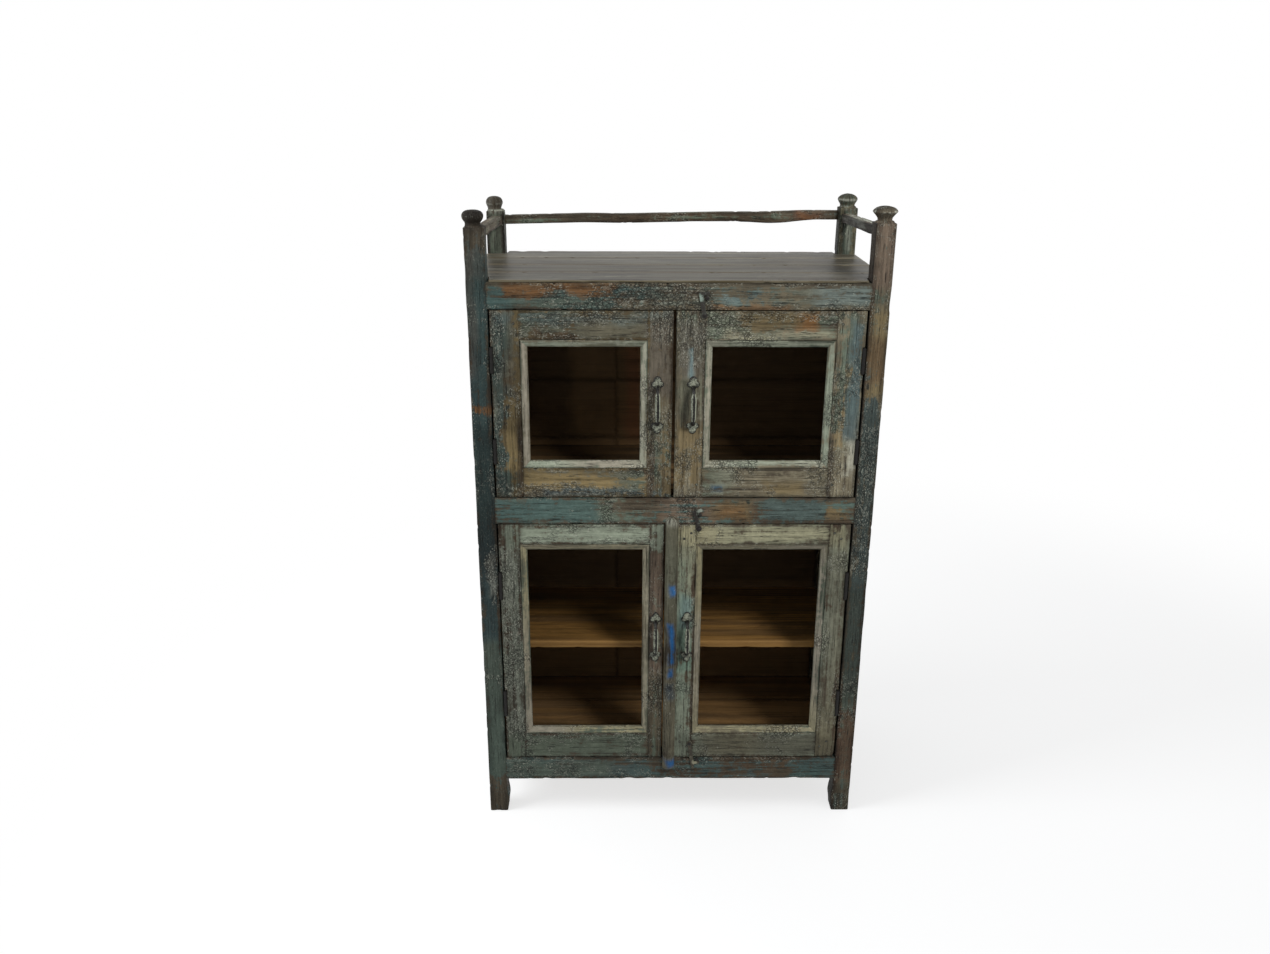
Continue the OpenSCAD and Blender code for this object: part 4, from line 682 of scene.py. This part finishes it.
def iron(name, patina, dark_tone, bright_tone, highlight_spot=None, highlight_reach=0.01):
    """Dark forged iron with a green-grey bloom, pale from wear and painted highlight where it stands proud,
    and round one spot where one is given, a painted highlight on worn iron.
    """
    g = Graph(bpy.data.materials.new(name))
    place, wear_and_highlight = g.place(), g.attribute("edge", "Fac")
    if highlight_spot:
        away = g.value("VectorMath", {0: place, 1: highlight_spot}, "Value", operation="DISTANCE")
        wear_and_highlight = g.most(wear_and_highlight, g.ramp(away, 0.3 * highlight_reach, highlight_reach, 1.0, 0.0))
    large = g.noise(place, 90.0, 4.0, 0.6)
    small = g.noise(place, 420.0, 3.0, 0.6)
    level = g.total(0.0, (large, 0.5, 1.4), (small, 0.5, 1.6), (wear_and_highlight, 0.0, 0.85))
    colour = g.mix(g.ramp(level, 0.30 - 0.4 * patina, 0.95), rgba(dark_tone), rgba(bright_tone))
    height = g.total(0.0, (large, 0.5, 1.0), (small, 0.5, 0.5))
    rough = g.total(0.45, (large, 0.5, 0.4), (small, 0.5, 0.3))
    return g.finish(colour, rough, 0.22, height, 0.6, 0.0008)


def old_glass(name):
    """Dusty window glass that lets the light in and shows the dark inside."""
    g = Graph(bpy.data.materials.new(name))
    place = g.place()
    dust = g.noise(place, 9.0, 5.0, 0.6)
    opacity = g.total(0.14, (dust, 0.5, 0.2))
    colour = g.mix(dust, rgba("#060504"), rgba("#16110b"))
    return g.finish(colour, 0.35, 0.0, g.noise(place, 12.0, 1.0), 0.15, 0.001, Alpha=opacity)


# The material of each slot
MATERIALS = {
    "post_paint": painted_wood("worn_post_paint", 0.0090, 0.0056),
    "rail_paint": painted_wood("worn_rail_paint", 0.0082, 0.0058),
    "side_paint": painted_wood("worn_side_paint"),
    "upper_door_paint": painted_wood("worn_door_paint", 0.0074, 0.0054),
    "bead_paint": painted_wood("worn_bead_paint", 0.0080, 0.0055, 0.0006),
    "strip_paint": painted_wood("worn_strip_paint", 0.0100, 0.0055, 0.0008),
    "top_wood": bare_wood("old_top_boards", contrast=1.8, relief=0.0004, sheen=0.11, edge_tone="tan",
                          edge_share=0.22, streaks=95, roughness=0.42),
    "inside_wood": bare_wood("dark_inside_wood", contrast=0.6),
    "shelf_wood": bare_wood("honey_shelf_wood", edge_tone="pale_honey", edge_share=0.9, streaks=110),
    "forged_iron": iron("worn_forged_iron", 0.15, "#0f0e0c", "#989c8b"),
    "hinge_iron": iron("dark_hinge_iron", 0.0, "#0f0d0b", "#4a342b"),
    "nail_iron": iron("rusty_nail_iron", 0.1, "#15120f", "#7d8072"),
    "window_glass": old_glass("dusty_glass"),
}
MATERIALS["lower_door_paint"] = MATERIALS["upper_door_paint"]


# Posts

# Outline of each knob from its neck upwards: radius and height above the shoulder in mm
KNOBS = {
    "front_left_post": [(17, 1), (16.4, 8), (19, 11), (22.3, 16), (23.5, 21), (22.8, 26), (19, 31),
                        (11, 33.6), (0.5, 34)],
    "front_right_post": [(16, 1), (15.6, 8), (18.5, 12), (23, 17), (26.4, 20.5), (27, 22.5), (25.5, 25.5),
                         (20, 30), (12, 33), (0.5, 34)],
    "back_left_post": [(17, 1), (16.4, 6), (18.3, 11), (20.5, 16), (21, 20), (19.5, 26), (15.5, 31),
                       (8, 33.5), (0.5, 34)],
    "back_right_post": [(18.5, 1), (18, 7), (20.5, 11), (23.8, 16), (25, 19.5), (23, 24), (17, 29),
                        (9, 32), (0.5, 33)],
}


def post(node, side, low_y, seed):
    low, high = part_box(node)
    shoulder = high.z - KNOB_H
    low_x = -HALF_W if side < 0 else INNER_X
    middle_x, middle_y = low_x + POST / 2, low_y + POST / 2

    def bulge(verts):
        """Thickens the worn inner side of a front post's foot a little."""
        near = np.exp(-((verts[..., Z] - 0.038) / 0.022) ** 2)
        inner = -side * (verts[..., X] - middle_x) > POST / 4
        verts[..., X] -= side * 0.004 * near * inner

    shaft = plank((low_x, low_y, 0.0), (low_x + POST, low_y + POST, shoulder), Z, seed, arris=0.0035,
                  shape=bulge if low_y < 0 else None)
    rim = POST / 2 - SETBACK
    cap = [(rim + 0.0005, -0.003), (rim, 0.0), (rim - 0.001, 0.002), (0.0185, 0.0035), (0.014, 0.0042)]
    cap = revolve(cap, (middle_x, middle_y, shoulder), seed + 20, wear=0.3)
    outline = np.array(KNOBS[node]) * MM
    radius = outline[:, 0].max()
    knob_x = low.x + radius if side < 0 else high.x - radius
    knob = revolve(outline, (knob_x, middle_y, shoulder), seed + 21, facets=9, facet_depth=0.05)
    # Painted shade on the inner side of a right post
    dress(shaft, node, shaded_side=LEFT if side > 0 else None)
    make(node, [shaft, dress(cap, node), dress(knob, node)], "post_paint")


post("front_left_post", -1, FRONT_Y, 11)
post("front_right_post", 1, FRONT_Y, 47)
post("back_left_post", -1, BACK_Y - POST, 83)
post("back_right_post", 1, BACK_Y - POST, 119)


# Rails and boards

def front_rail(node, seed):
    low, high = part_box(node)
    low.x, high.x = BETWEEN_POSTS[X]
    make(node, [dress(plank(low, high, X, seed, arris=0.002), node, bare_side=BACK)], "rail_paint")


front_rail("top_front_rail", 201)
front_rail("middle_front_rail", 231)
front_rail("bottom_front_rail", 261)


def boards(node, axis, style, slot, seed, trim=False, lap=(), arris=0.0015, wear=0.8, material=None, **sides):
    """One worn plank for each solid of a node, trimmed between the posts or lapped over its neighbours."""
    parts = []
    for index, (low, high) in enumerate(solids(node)):
        if trim:
            low[axis] = max(low[axis], BETWEEN_POSTS[axis][0])
            high[axis] = min(high[axis], BETWEEN_POSTS[axis][1])
        for across in lap:
            low[across] -= LAP
            high[across] += LAP
        part = plank(low, high, axis, seed + 13 * index, arris, step=0.009, wear=wear)
        parts.append(dress(part, style, **sides))
    make(node, parts, slot, material=material)


boards("back_rails", X, "side", "side_paint", 301, trim=True)
boards("left_side_rails", Y, "side", "side_paint", 341, trim=True)
boards("right_side_rails", Y, "side", "side_paint", 381, trim=True)
boards("left_side_boards", Y, "side", "side_paint", 421, lap=(Z,), bare_side=RIGHT)
boards("right_side_boards", Y, "side", "side_paint", 541, lap=(Z,), bare_side=LEFT)
boards("back_boards", X, "back_boards", "inside_wood", 661, lap=(X, Z), arris=0.0026, wear=0.6,
       material=bare_wood("old_back_boards", contrast=0.8, relief=0.0008, sheen=0.1), outer_side=BACK)
boards("upper_floor_boards", X, "inside", "inside_wood", 901)
boards("lower_floor_boards", X, "inside_floor", "inside_wood", 951)
boards("support_cleats", Y, "inside", "inside_wood", 1001)
boards("door_stops", X, "inside", "inside_wood", 1101)
boards("lower_shelf", X, "shelf", "shelf_wood", 1201)


def top_boards():
    """The planks of the top, notched round the posts, with the first one lipped over the front rail."""
    # Beside a post, into the back or front of a post, and the length of a notch's corner
    clearance, tuck, corner = 0.002, 0.002, 0.0003
    notch = INNER_X - clearance
    stops = (-notch - corner, -notch, notch, notch + corner)
    # Painted sheen: each plank further back is made paler, as a glancing reflection would make it
    painted_sheen_backwards = (0.90, 0.95, 1.20, 1.55)

    def notched(verts):
        clear = np.clip(verts[..., Y], FRONT_Y + POST - tuck, BACK_Y - POST + tuck)
        verts[..., Y] = np.where(np.abs(verts[..., X]) > notch, clear, verts[..., Y])

    parts = []
    for index, (low, high) in enumerate(solids("top_boards")):
        if index == 0:
            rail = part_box("top_front_rail")[1]
            under = plank((-HALF_W, rail.y + 0.0005, low[Z]), (HALF_W, high[Y], rail.z), X, 1301,
                          arris=0.001, step=0.012, stops=stops, wear=0.3, shape=notched)
            parts.append(dress(under, "inside"))
            low[Z] = rail.z
        part = plank(low, high, X, 1310 + 17 * index, arris=0.0016, step=0.007, stops=stops, wear=0.7,
                     shape=notched)
        dress(part, "top_boards")
        part["wood"][:, :3] *= painted_sheen_backwards[index]
        parts.append(part)
    make("top_boards", parts, "top_wood")


top_boards()


def gallery_rail(node, axis, seed):
    """A hand-hewn rail of the gallery, which slopes between its two posts. The back one sags a little."""
    low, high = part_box(node)
    start, end = BETWEEN_POSTS[axis]
    start_z, end_z = high.z - GALLERY_H / 2, low.z + GALLERY_H / 2
    if axis == X:
        start_z, end_z = end_z, start_z

    def sloped(verts):
        run = verts[..., axis]
        level = toward(start_z, end_z, (run - start) / (end - start))
        verts[..., Z] += level + 0.0016 * noise(np.stack([run, 0 * run, 0 * run], axis=-1), 0.11, 3)
        if axis == X:
            dip = 0.006 * np.exp(-((run - 0.25) / 0.07) ** 2)
            verts[..., Z] -= np.where(verts[..., Z] < level, dip, 0)

    # A level plank at the height of nought, which sloped() lifts to its place
    low.z, high.z = -GALLERY_H / 2, GALLERY_H / 2
    low[axis], high[axis] = start, end
    part = plank(low, high, axis, seed, arris=0.003, shape=sloped)
    # Painted shade on the inner side of the right gallery rail
    make(node, [dress(part, "gallery", node, shaded_side=LEFT if low.x > 0 else None)], "rail_paint")


gallery_rail("left_gallery_rail", Y, 1401)
gallery_rail("right_gallery_rail", Y, 1411)
gallery_rail("back_gallery_rail", X, 1421)


# Doors

# Section of a glazing bead from the wood to the glass: reach over the window and depth in mm, and how
# much each place is worn
BEAD = np.array([(0, 12, 0), (0, 2, 0.6), (0.5, 1.2, 1), (1.2, 1, 1), (3, 1.1, 0.4), (4.5, 1.9, 0.2),
                 (7, 3.2, 0), (9.5, 4.6, 0), (12, 5.9, 0), (14.5, 7.2, 0.3), (15.6, 8, 1), (16, 9, 0.7),
                 (16, 12, 0)])


def bead_part(length, origin, along, inward, seed):
    """One mitred glazing bead: along its side of the window, with inward towards the glass."""
    mitre_gap = 0.0001
    outline, edge = BEAD[:, :2] * MM, BEAD[:, 2]
    tangent = np.gradient(outline, axis=0)
    tangent /= np.linalg.norm(tangent, axis=1)[:, None]
    start = outline[:, 0] + mitre_gap
    share = np.linspace(0, 1, max(4, round(length / STEP)) + 1)[:, None]
    run = toward(start, length - start, share)
    along, inward, back = np.array([along, inward, BACK], float)
    verts = np.array(origin) + run[..., None] * along + outline @ [inward, back]
    normals = tangent[:, [1, 0]] * [1, -1] @ [inward, back]
    return sweep(verts, normals, edge, run, run_along(outline), seed, 0.5)


def door(name, seed):
    """Stiles, rails and beads of one door, round its pane of glass."""
    tier, hinge_side = name[:5], -1 if "left" in name else 1
    low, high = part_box(name + "_stiles")
    glass_low, glass_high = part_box(name + "_glass")
    left, right = glass_low.x - GLASS_CLEARANCE, glass_high.x + GLASS_CLEARANCE
    bottom, top = glass_low.z - GLASS_CLEARANCE, glass_high.z + GLASS_CLEARANCE
    edge_x = low.x if hinge_side < 0 else high.x
    notch_depth, notch_width, notch_room, notch_corner = 0.0048, 0.0058, 0.003, 0.0004
    lip_wide, overlap, tenon = 0.011, 0.001, 0.0008
    leaves = solids(tier + "_left_door_hinge_leaves")
    hinge_heights = sorted((leaf_low[Z] + leaf_high[Z]) / 2 for leaf_low, leaf_high in leaves)
    reach = (leaves[0][1][Z] - leaves[0][0][Z]) / 2 + notch_room
    reaches = (-reach - notch_corner, -reach, reach, reach + notch_corner)
    stops = [height + offset for height in hinge_heights for offset in reaches]

    def notched(verts):
        """Clears the stile round its hinges."""
        for height in hinge_heights:
            corner = (np.abs(verts[..., Z] - height) < reach + 0.0001) & (verts[..., Y] < low.y + notch_depth)
            corner &= np.abs(verts[..., X] - edge_x) < notch_width
            verts[..., X] = np.where(corner, edge_x - hinge_side * notch_width, verts[..., X])

    def lip(from_x, to_x, from_z, to_z, axis, number):
        """The rebate's lip, behind the glass."""
        return plank((from_x, glass_high.y, from_z), (to_x, high.y, to_z), axis, seed + number,
                     arris=0.001, step=0.012, wear=0.3)

    def assemble(what, parts):
        parts = [dress(part, name, bare_side=BACK) for part in parts]
        make(name + what, parts, tier + "_door_paint", name)

    far_right = high.x + (MEETING if name == "lower_left_door" else 0)
    stiles = []
    for index, (x0, x1, lip_x) in enumerate(((low.x, left, left - overlap),
                                             (right, far_right, right + overlap - lip_wide))):
        hinged = (index == 0) == (hinge_side < 0)
        stiles.append(plank((x0, low.y, low.z), (x1, high.y, high.z), Z, seed + 5 * index, arris=0.0022,
                            step=0.0055, stops=stops if hinged else (), shape=notched if hinged else None))
        stiles.append(lip(lip_x, lip_x + lip_wide, bottom - overlap, top + overlap, Z, 40 + index))
    assemble("_stiles", stiles)

    rails = []
    lip_inset = lip_wide - 2 * overlap
    for index, (z0, z1, lip_z) in enumerate(((top, high.z, top + overlap - lip_wide),
                                             (low.z, bottom, bottom - overlap))):
        rails.append(plank((left - tenon, low.y, z0), (right + tenon, high.y, z1), X, seed + 21 + 5 * index,
                           arris=0.0020, step=0.0055))
        rails.append(lip(left + lip_inset, right - lip_inset, lip_z, lip_z + lip_wide, X, 50 + index))
    assemble("_rails", rails)

    width, height = right - left, top - bottom
    beads = (
        (width, (left, low.y, bottom), (1, 0, 0), (0, 0, 1)),
        (height, (right, low.y, bottom), (0, 0, 1), (-1, 0, 0)),
        (width, (right, low.y, top), (-1, 0, 0), (0, 0, -1)),
        (height, (left, low.y, top), (0, 0, -1), (1, 0, 0)),
    )
    parts = [bead_part(*bead, seed + 60 + 3 * index) for index, bead in enumerate(beads)]
    make(name + "_beads", [dress(part, tier + "_bead") for part in parts], "bead_paint", name)
    keep(name + "_glass", MATERIALS["window_glass"])


for index, name in enumerate(DOORS):
    door(name, 2001 + 100 * index)


def strip():
    """The half-round strip where the lower doors meet, with a worn round top."""
    node = "lower_right_door_strip"
    low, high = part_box(node)
    half, middle = (high.x - low.x) / 2, (low.x + high.x) / 2
    shoulder = high.z - half
    clearance = 0.0005
    back = FRONT_Y + SETBACK - clearance
    angles = np.radians(np.linspace(0, 180, 25))
    front = np.stack([np.cos(angles), -np.sin(angles)], axis=-1)
    flat = np.stack([np.linspace(-half, half, 7)[1:-1], np.zeros(5)], axis=-1)
    places = np.concatenate([front * [half, back - low.y], flat])
    normals = np.concatenate([front, np.tile([0.0, 1.0], (5, 1))])
    dome = shoulder + half * np.sin(np.radians([15, 30, 42, 54, 64, 73, 81]))
    stations = np.concatenate([spans(low.z, shoulder), dome])[:, None]
    above = np.clip((stations - shoulder) / half, 0, 0.995)
    taper = np.sqrt(1 - above ** 2)
    low_end = 0.75 + 0.25 * smooth(stations, low.z - 0.001, low.z + 0.006)
    verts, directions = np.zeros((2, len(stations), len(places), 3))
    verts[..., X] = middle + places[:, 0] * taper
    verts[..., Y] = back + places[:, 1] * (0.55 + 0.45 * taper) * low_end
    verts[..., Z] = stations
    directions[..., :2] = normals
    part = sweep(verts, directions, 0.25 + 0.6 * (above > 0.1), stations, run_along(places), 2401, flip=True)
    make(node, [dress(part, "strip")], "strip_paint", "lower_right_door")


strip()


# Iron fittings

# Round lobes of the handles' leaves: x, z and radius in mm
TREFOIL = [(-6.9, -3.0, 7.0), (6.9, -3.0, 7.0), (0.0, 6.8, 8.4), (0.0, -6.5, 6.8)]
SPADE = [(-6.2, -3.4, 7.7), (6.2, -3.4, 7.7), (0.0, 2.5, 8.6), (0.0, -6.5, 6.8)]

# Dome of a leaf: share of its reach, and height in mm
LEAF_DOME = [(1.0, 0.0), (1.0, 0.9), (0.93, 1.9), (0.8, 2.7), (0.62, 3.3), (0.42, 3.7), (0.2, 3.8)]

# A nail from its head down: share of the head's radius, and height in domes above the face or mm below it
NAIL = [(0.2, 1.0), (0.6, 0.9), (0.9, 0.45), (1.0, 0.0), (1.0, -0.4), (0.45, -0.72), (0.45, -9.6)]


def metal_part(verts, wear_and_highlight, flip=False):
    """Rings of points as a part of iron, with how pale each place is from wear and painted highlight."""
    rings, sides = verts.shape[:2]
    return {"verts": verts.reshape(-1, 3), "edge": np.broadcast_to(wear_and_highlight, (rings, sides)),
            "faces": tube_faces(rings, sides, flip)}


def leaf(centre, up, lobes, tip, seed):
    """A domed forged leaf lying on the door's face, pointing up or down."""
    angle = circle(48)
    reach = 0.0
    for x, z, radius in lobes:
        along = x * np.cos(angle) + z * np.sin(angle)
        outside = radius ** 2 - (x * x + z * z) + along ** 2
        reach = np.maximum(reach, along + np.sqrt(np.maximum(outside, 0)))
    reach = reach + tip * np.maximum(0, np.sin(angle)) ** 14
    share, height = np.transpose(LEAF_DOME)[..., None]
    crease = 1 - 0.22 * share * np.exp(-((reach - reach.min()) / 2.2) ** 2)
    x, z = share * reach * np.cos(angle), share * reach * np.sin(angle)
    hammer = 0.25 * noise(np.stack([x, z, 0 * x + seed], axis=-1), 4.0, seed) * (height > 1)
    verts = np.array(centre) + MM * np.stack([x, -(height * crease + hammer), up * z], axis=-1)
    return metal_part(verts, 0.80 * (1.0 - share ** 5), flip=up < 0)


def grip(centre, reach_z, proud, seed):
    """The forged bar of a handle: a broad flat arch with narrow roots, pale on its left face from wear and
    painted highlight, with a painted highlight along its right edge.
    """
    turn = np.linspace(0.04, math.pi - 0.04, 49)[:, None]
    around = circle(16)
    power = 2 / 3.2
    path_z = reach_z * np.sign(np.cos(turn)) * np.abs(np.cos(turn)) ** power
    path_y = -proud * np.sin(turn) ** power
    step_y, step_z = np.gradient(path_y, axis=0), np.gradient(path_z, axis=0)
    length = np.hypot(step_y, step_z)
    out_y, out_z = -step_z / length, step_y / length
    from_middle = np.abs(path_z) / reach_z
    necking, root = smooth(from_middle, 0.45, 0.85), smooth(from_middle, 0.93, 1.0)
    broad = (6.0 - 2.4 * necking + 1.9 * root + 0.22 * np.sin(9 * turn + seed)) * MM
    thick = (3.9 - 0.5 * necking + 1.0 * root) * MM
    # Pale on its left face, partly wear and partly painted highlight, and a painted highlight along its right
    # edge, both on the outward half of the bar
    left_face = 0.72 * smooth(-np.cos(around), 0.05, 0.30)
    right_highlight = 1.2 * smooth(np.cos(around), 0.45, 0.75)
    outward = smooth(-np.sin(around) * np.sign(out_y), -0.2, 0.4)
    wear_and_highlight = outward * np.maximum(left_face, right_highlight) * (0.3 + 0.7 * (from_middle < 0.75))
    out = np.sin(around) * thick
    verts = np.stack([np.cos(around) * broad, path_y + out * out_y, path_z + out * out_z], axis=-1)
    return metal_part(verts + centre, wear_and_highlight)


def handle(name, spade, seed):
    """A forged pull handle: a grip between two leaves."""
    # From each end of the handle to its leaf's middle and to its grip, and the grip's place in its depth
    leaf_inset, grip_inset, grip_back, grip_front = 0.015, 0.0235, 0.001, 0.0048
    low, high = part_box(name + "_handle")
    x, y, z = (low.x + high.x) / 2, high.y, (low.z + high.z) / 2
    half = (high.z - low.z) / 2
    leaf_z = half - leaf_inset
    parts = [
        grip((x, y - grip_back, z), half - grip_inset, high.y - low.y - grip_back - grip_front, seed),
        leaf((x, y, z + leaf_z), 1, SPADE if spade else TREFOIL, 4.0 if spade else 0.0, seed),
        leaf((x, y, z - leaf_z), -1, TREFOIL, 0.0, seed + 1),
    ]
    make(name + "_handle", parts, "forged_iron", name, suffix="_forged")


def nail_heads(node, body, seed):
    """Low domed heads of the nails in a node, on their shanks. Those on the handle stand more proud."""
    usual_dome, handle_dome = 0.0003, 0.0009
    grip_low, grip_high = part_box(body + "_handle")
    angle = circle(14)
    share, rise = np.transpose(NAIL)[..., None]
    parts = []
    for index, (low, high) in enumerate(solids(node)):
        centre = (low + high) / 2
        axis = int(np.argmax(high - low))
        first, second = [other for other in range(3) if other != axis]
        on_handle = grip_low.x < centre[X] < grip_high.x and grip_low.z < centre[Z] < grip_high.z
        # The head is at the low end of a nail in a face, and at the end that faces the post otherwise
        outward = -1 if axis == Y or centre[X] < 0 else 1
        head = low[axis] if outward < 0 else high[axis]
        dome = 0.0 if axis != Y else handle_dome if on_handle else usual_dome
        radius = (high - low)[first] / 2 * share * (1 + 0.06 * np.sin(3 * angle + index + seed))
        verts = np.zeros((len(NAIL), len(angle), 3))
        verts[..., axis] = head + outward * rise * np.where(rise > 0, dome, MM)
        verts[..., first] = centre[first] + radius * np.cos(angle)
        verts[..., second] = centre[second] + radius * np.sin(angle)
        wear_and_highlight = 0.9 if on_handle else np.where(share < 0.8, 0.65, 0.0)
        parts.append(metal_part(verts, wear_and_highlight, flip=(outward < 0) == (axis == Y)))
    make(node, parts, "nail_iron", body)


for index, name in enumerate(DOORS):
    handle(name, name == "lower_left_door", 5 + 3 * index)
for index, name in enumerate(DOORS):
    nail_heads(name + "_nails", name, index)
for node in ("hinge_frame_leaves", "hinge_pins", *(name + "_hinge_leaves" for name in DOORS)):
    keep(node, MATERIALS["hinge_iron"])
# Each latch hook is pale round a place given as shares of its box, within a reach: a painted highlight on
# worn iron
for node, patina, tones, share_x, share_z, reach in (
        ("top_latch_hook", 0.85, ("#2a2723", "#86958b"), 0.1, 0.75, 0.012),
        ("middle_latch_hook", 0.70, ("#1d1915", "#8b9388"), 0.9, 0.85, 0.016),
        ("bottom_latch_hook", 1.05, ("#332f26", "#8a8773"), 0.6, 0.25, 0.010)):
    low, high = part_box(node)
    highlight_place = (toward(low.x, high.x, share_x), low.y, toward(low.z, high.z, share_z))
    keep(node, iron("worn_" + node, patina, *tones, highlight_place, reach), 0.0006)
for node in ("latch_catch_pins", "upper_latch_nail", "lower_latch_nails", "hinge_frame_nails"):
    keep(node, MATERIALS["nail_iron"])


# Floor, background, light and camera

def floor(reach=9.0):
    """A pale floor that fades into white and keeps the object's shadow."""
    mesh = bpy.data.meshes.new("floor")
    corners = [(-reach, -reach, 0), (reach, -reach, 0), (reach, reach, 0), (-reach, reach, 0)]
    mesh.from_pydata(corners, [], [(0, 1, 2, 3)])
    g = Graph(bpy.data.materials.new("pale_floor"))
    shadow_middle, fade_start, fade_end = (0.75, 0.1, 0.0), 1.1, 2.4
    away = g.value("VectorMath", {0: g.place(), 1: shadow_middle}, "Value", operation="DISTANCE")
    dulled = g.mix(g.ramp(away, fade_start, fade_end), (FLOOR_DIFFUSE,) * 3 + (1,), (0, 0, 0, 1))
    faint = g.value("BsdfDiffuse", {"Color": dulled})
    strength = g.ramp(away, fade_start, fade_end, FLOOR_GLOW, 1.0)
    glow = g.value("Emission", {"Color": (1, 1, 1, 1), "Strength": strength})
    plain = g.value("BsdfDiffuse", {"Color": (0.72, 0.72, 0.72, 1)})
    shown = g.value("AddShader", {0: faint, 1: glow})
    mesh.materials.append(g.show(g.value("MixShader", {0: g.seen(), 1: plain, 2: shown})))
    g.owner.cycles.emission_sampling = "NONE"
    obj = link("floor", mesh)
    return obj


def world():
    """White to the camera, and a plain even light on the object."""
    made = bpy.data.worlds.new("plain_studio")
    bpy.context.scene.world = made
    g = Graph(made, "OutputWorld")
    light = g.value("Background", {"Color": (0.98, 0.99, 1.0, 1), "Strength": 0.4})
    shown = g.value("Background", {"Color": (1, 1, 1, 1)})
    g.show(g.value("MixShader", {0: g.seen(), 1: light, 2: shown}))


def area_light(name, place, size, power, colour, spared=None):
    """A soft square lamp that looks at the cabinet, and leaves one object unlit where that is named."""
    aim = Vector((0.0, 0.0, 0.8))
    data = bpy.data.lights.new(name, "AREA")
    data.size = size
    data.energy = power
    data.color = colour
    obj = link(name, data)
    obj.location = place
    obj.rotation_euler = (aim - Vector(place)).to_track_quat("-Z", "Y").to_euler()
    if spared:
        lit = bpy.data.collections.new(name + "_spares")
        lit.objects.link(spared)
        lit.collection_objects[0].light_linking.link_state = "EXCLUDE"
        obj.light_linking.receiver_collection = lit


def camera():
    """The photograph's view, fitted to the cabinet's edges."""
    yaw, pitch, roll = (math.radians(angle) for angle in (0.608, 19.745, 0.26))
    focal_px, width_px = 1078.112, 1270
    data = bpy.data.cameras.new("photo_view")
    data.sensor_width = 36.0
    data.lens = focal_px / width_px * data.sensor_width
    data.clip_end = 60.0
    obj = link("photo_view", data)
    turned = Matrix.Rotation(-yaw, 4, "Z") @ Matrix.Rotation(math.pi / 2 - pitch, 4, "X")
    turned = turned @ Matrix.Rotation(roll, 4, "Z")
    obj.matrix_world = Matrix.Translation((-0.1152, FRONT_Y - 2.2706, 1.7065)) @ turned
    bpy.context.scene.camera = obj


floor_sheet = floor()
world()
area_light("key", (1.6, -2.4, 3.3), 0.8, 85.0, (1.0, 0.98, 0.95), floor_sheet)
area_light("side", (-3.0, -0.9, 2.6), 1.6, 70.0, (0.96, 0.98, 1.0))
camera()
bpy.context.scene.view_settings.view_transform = "Standard"
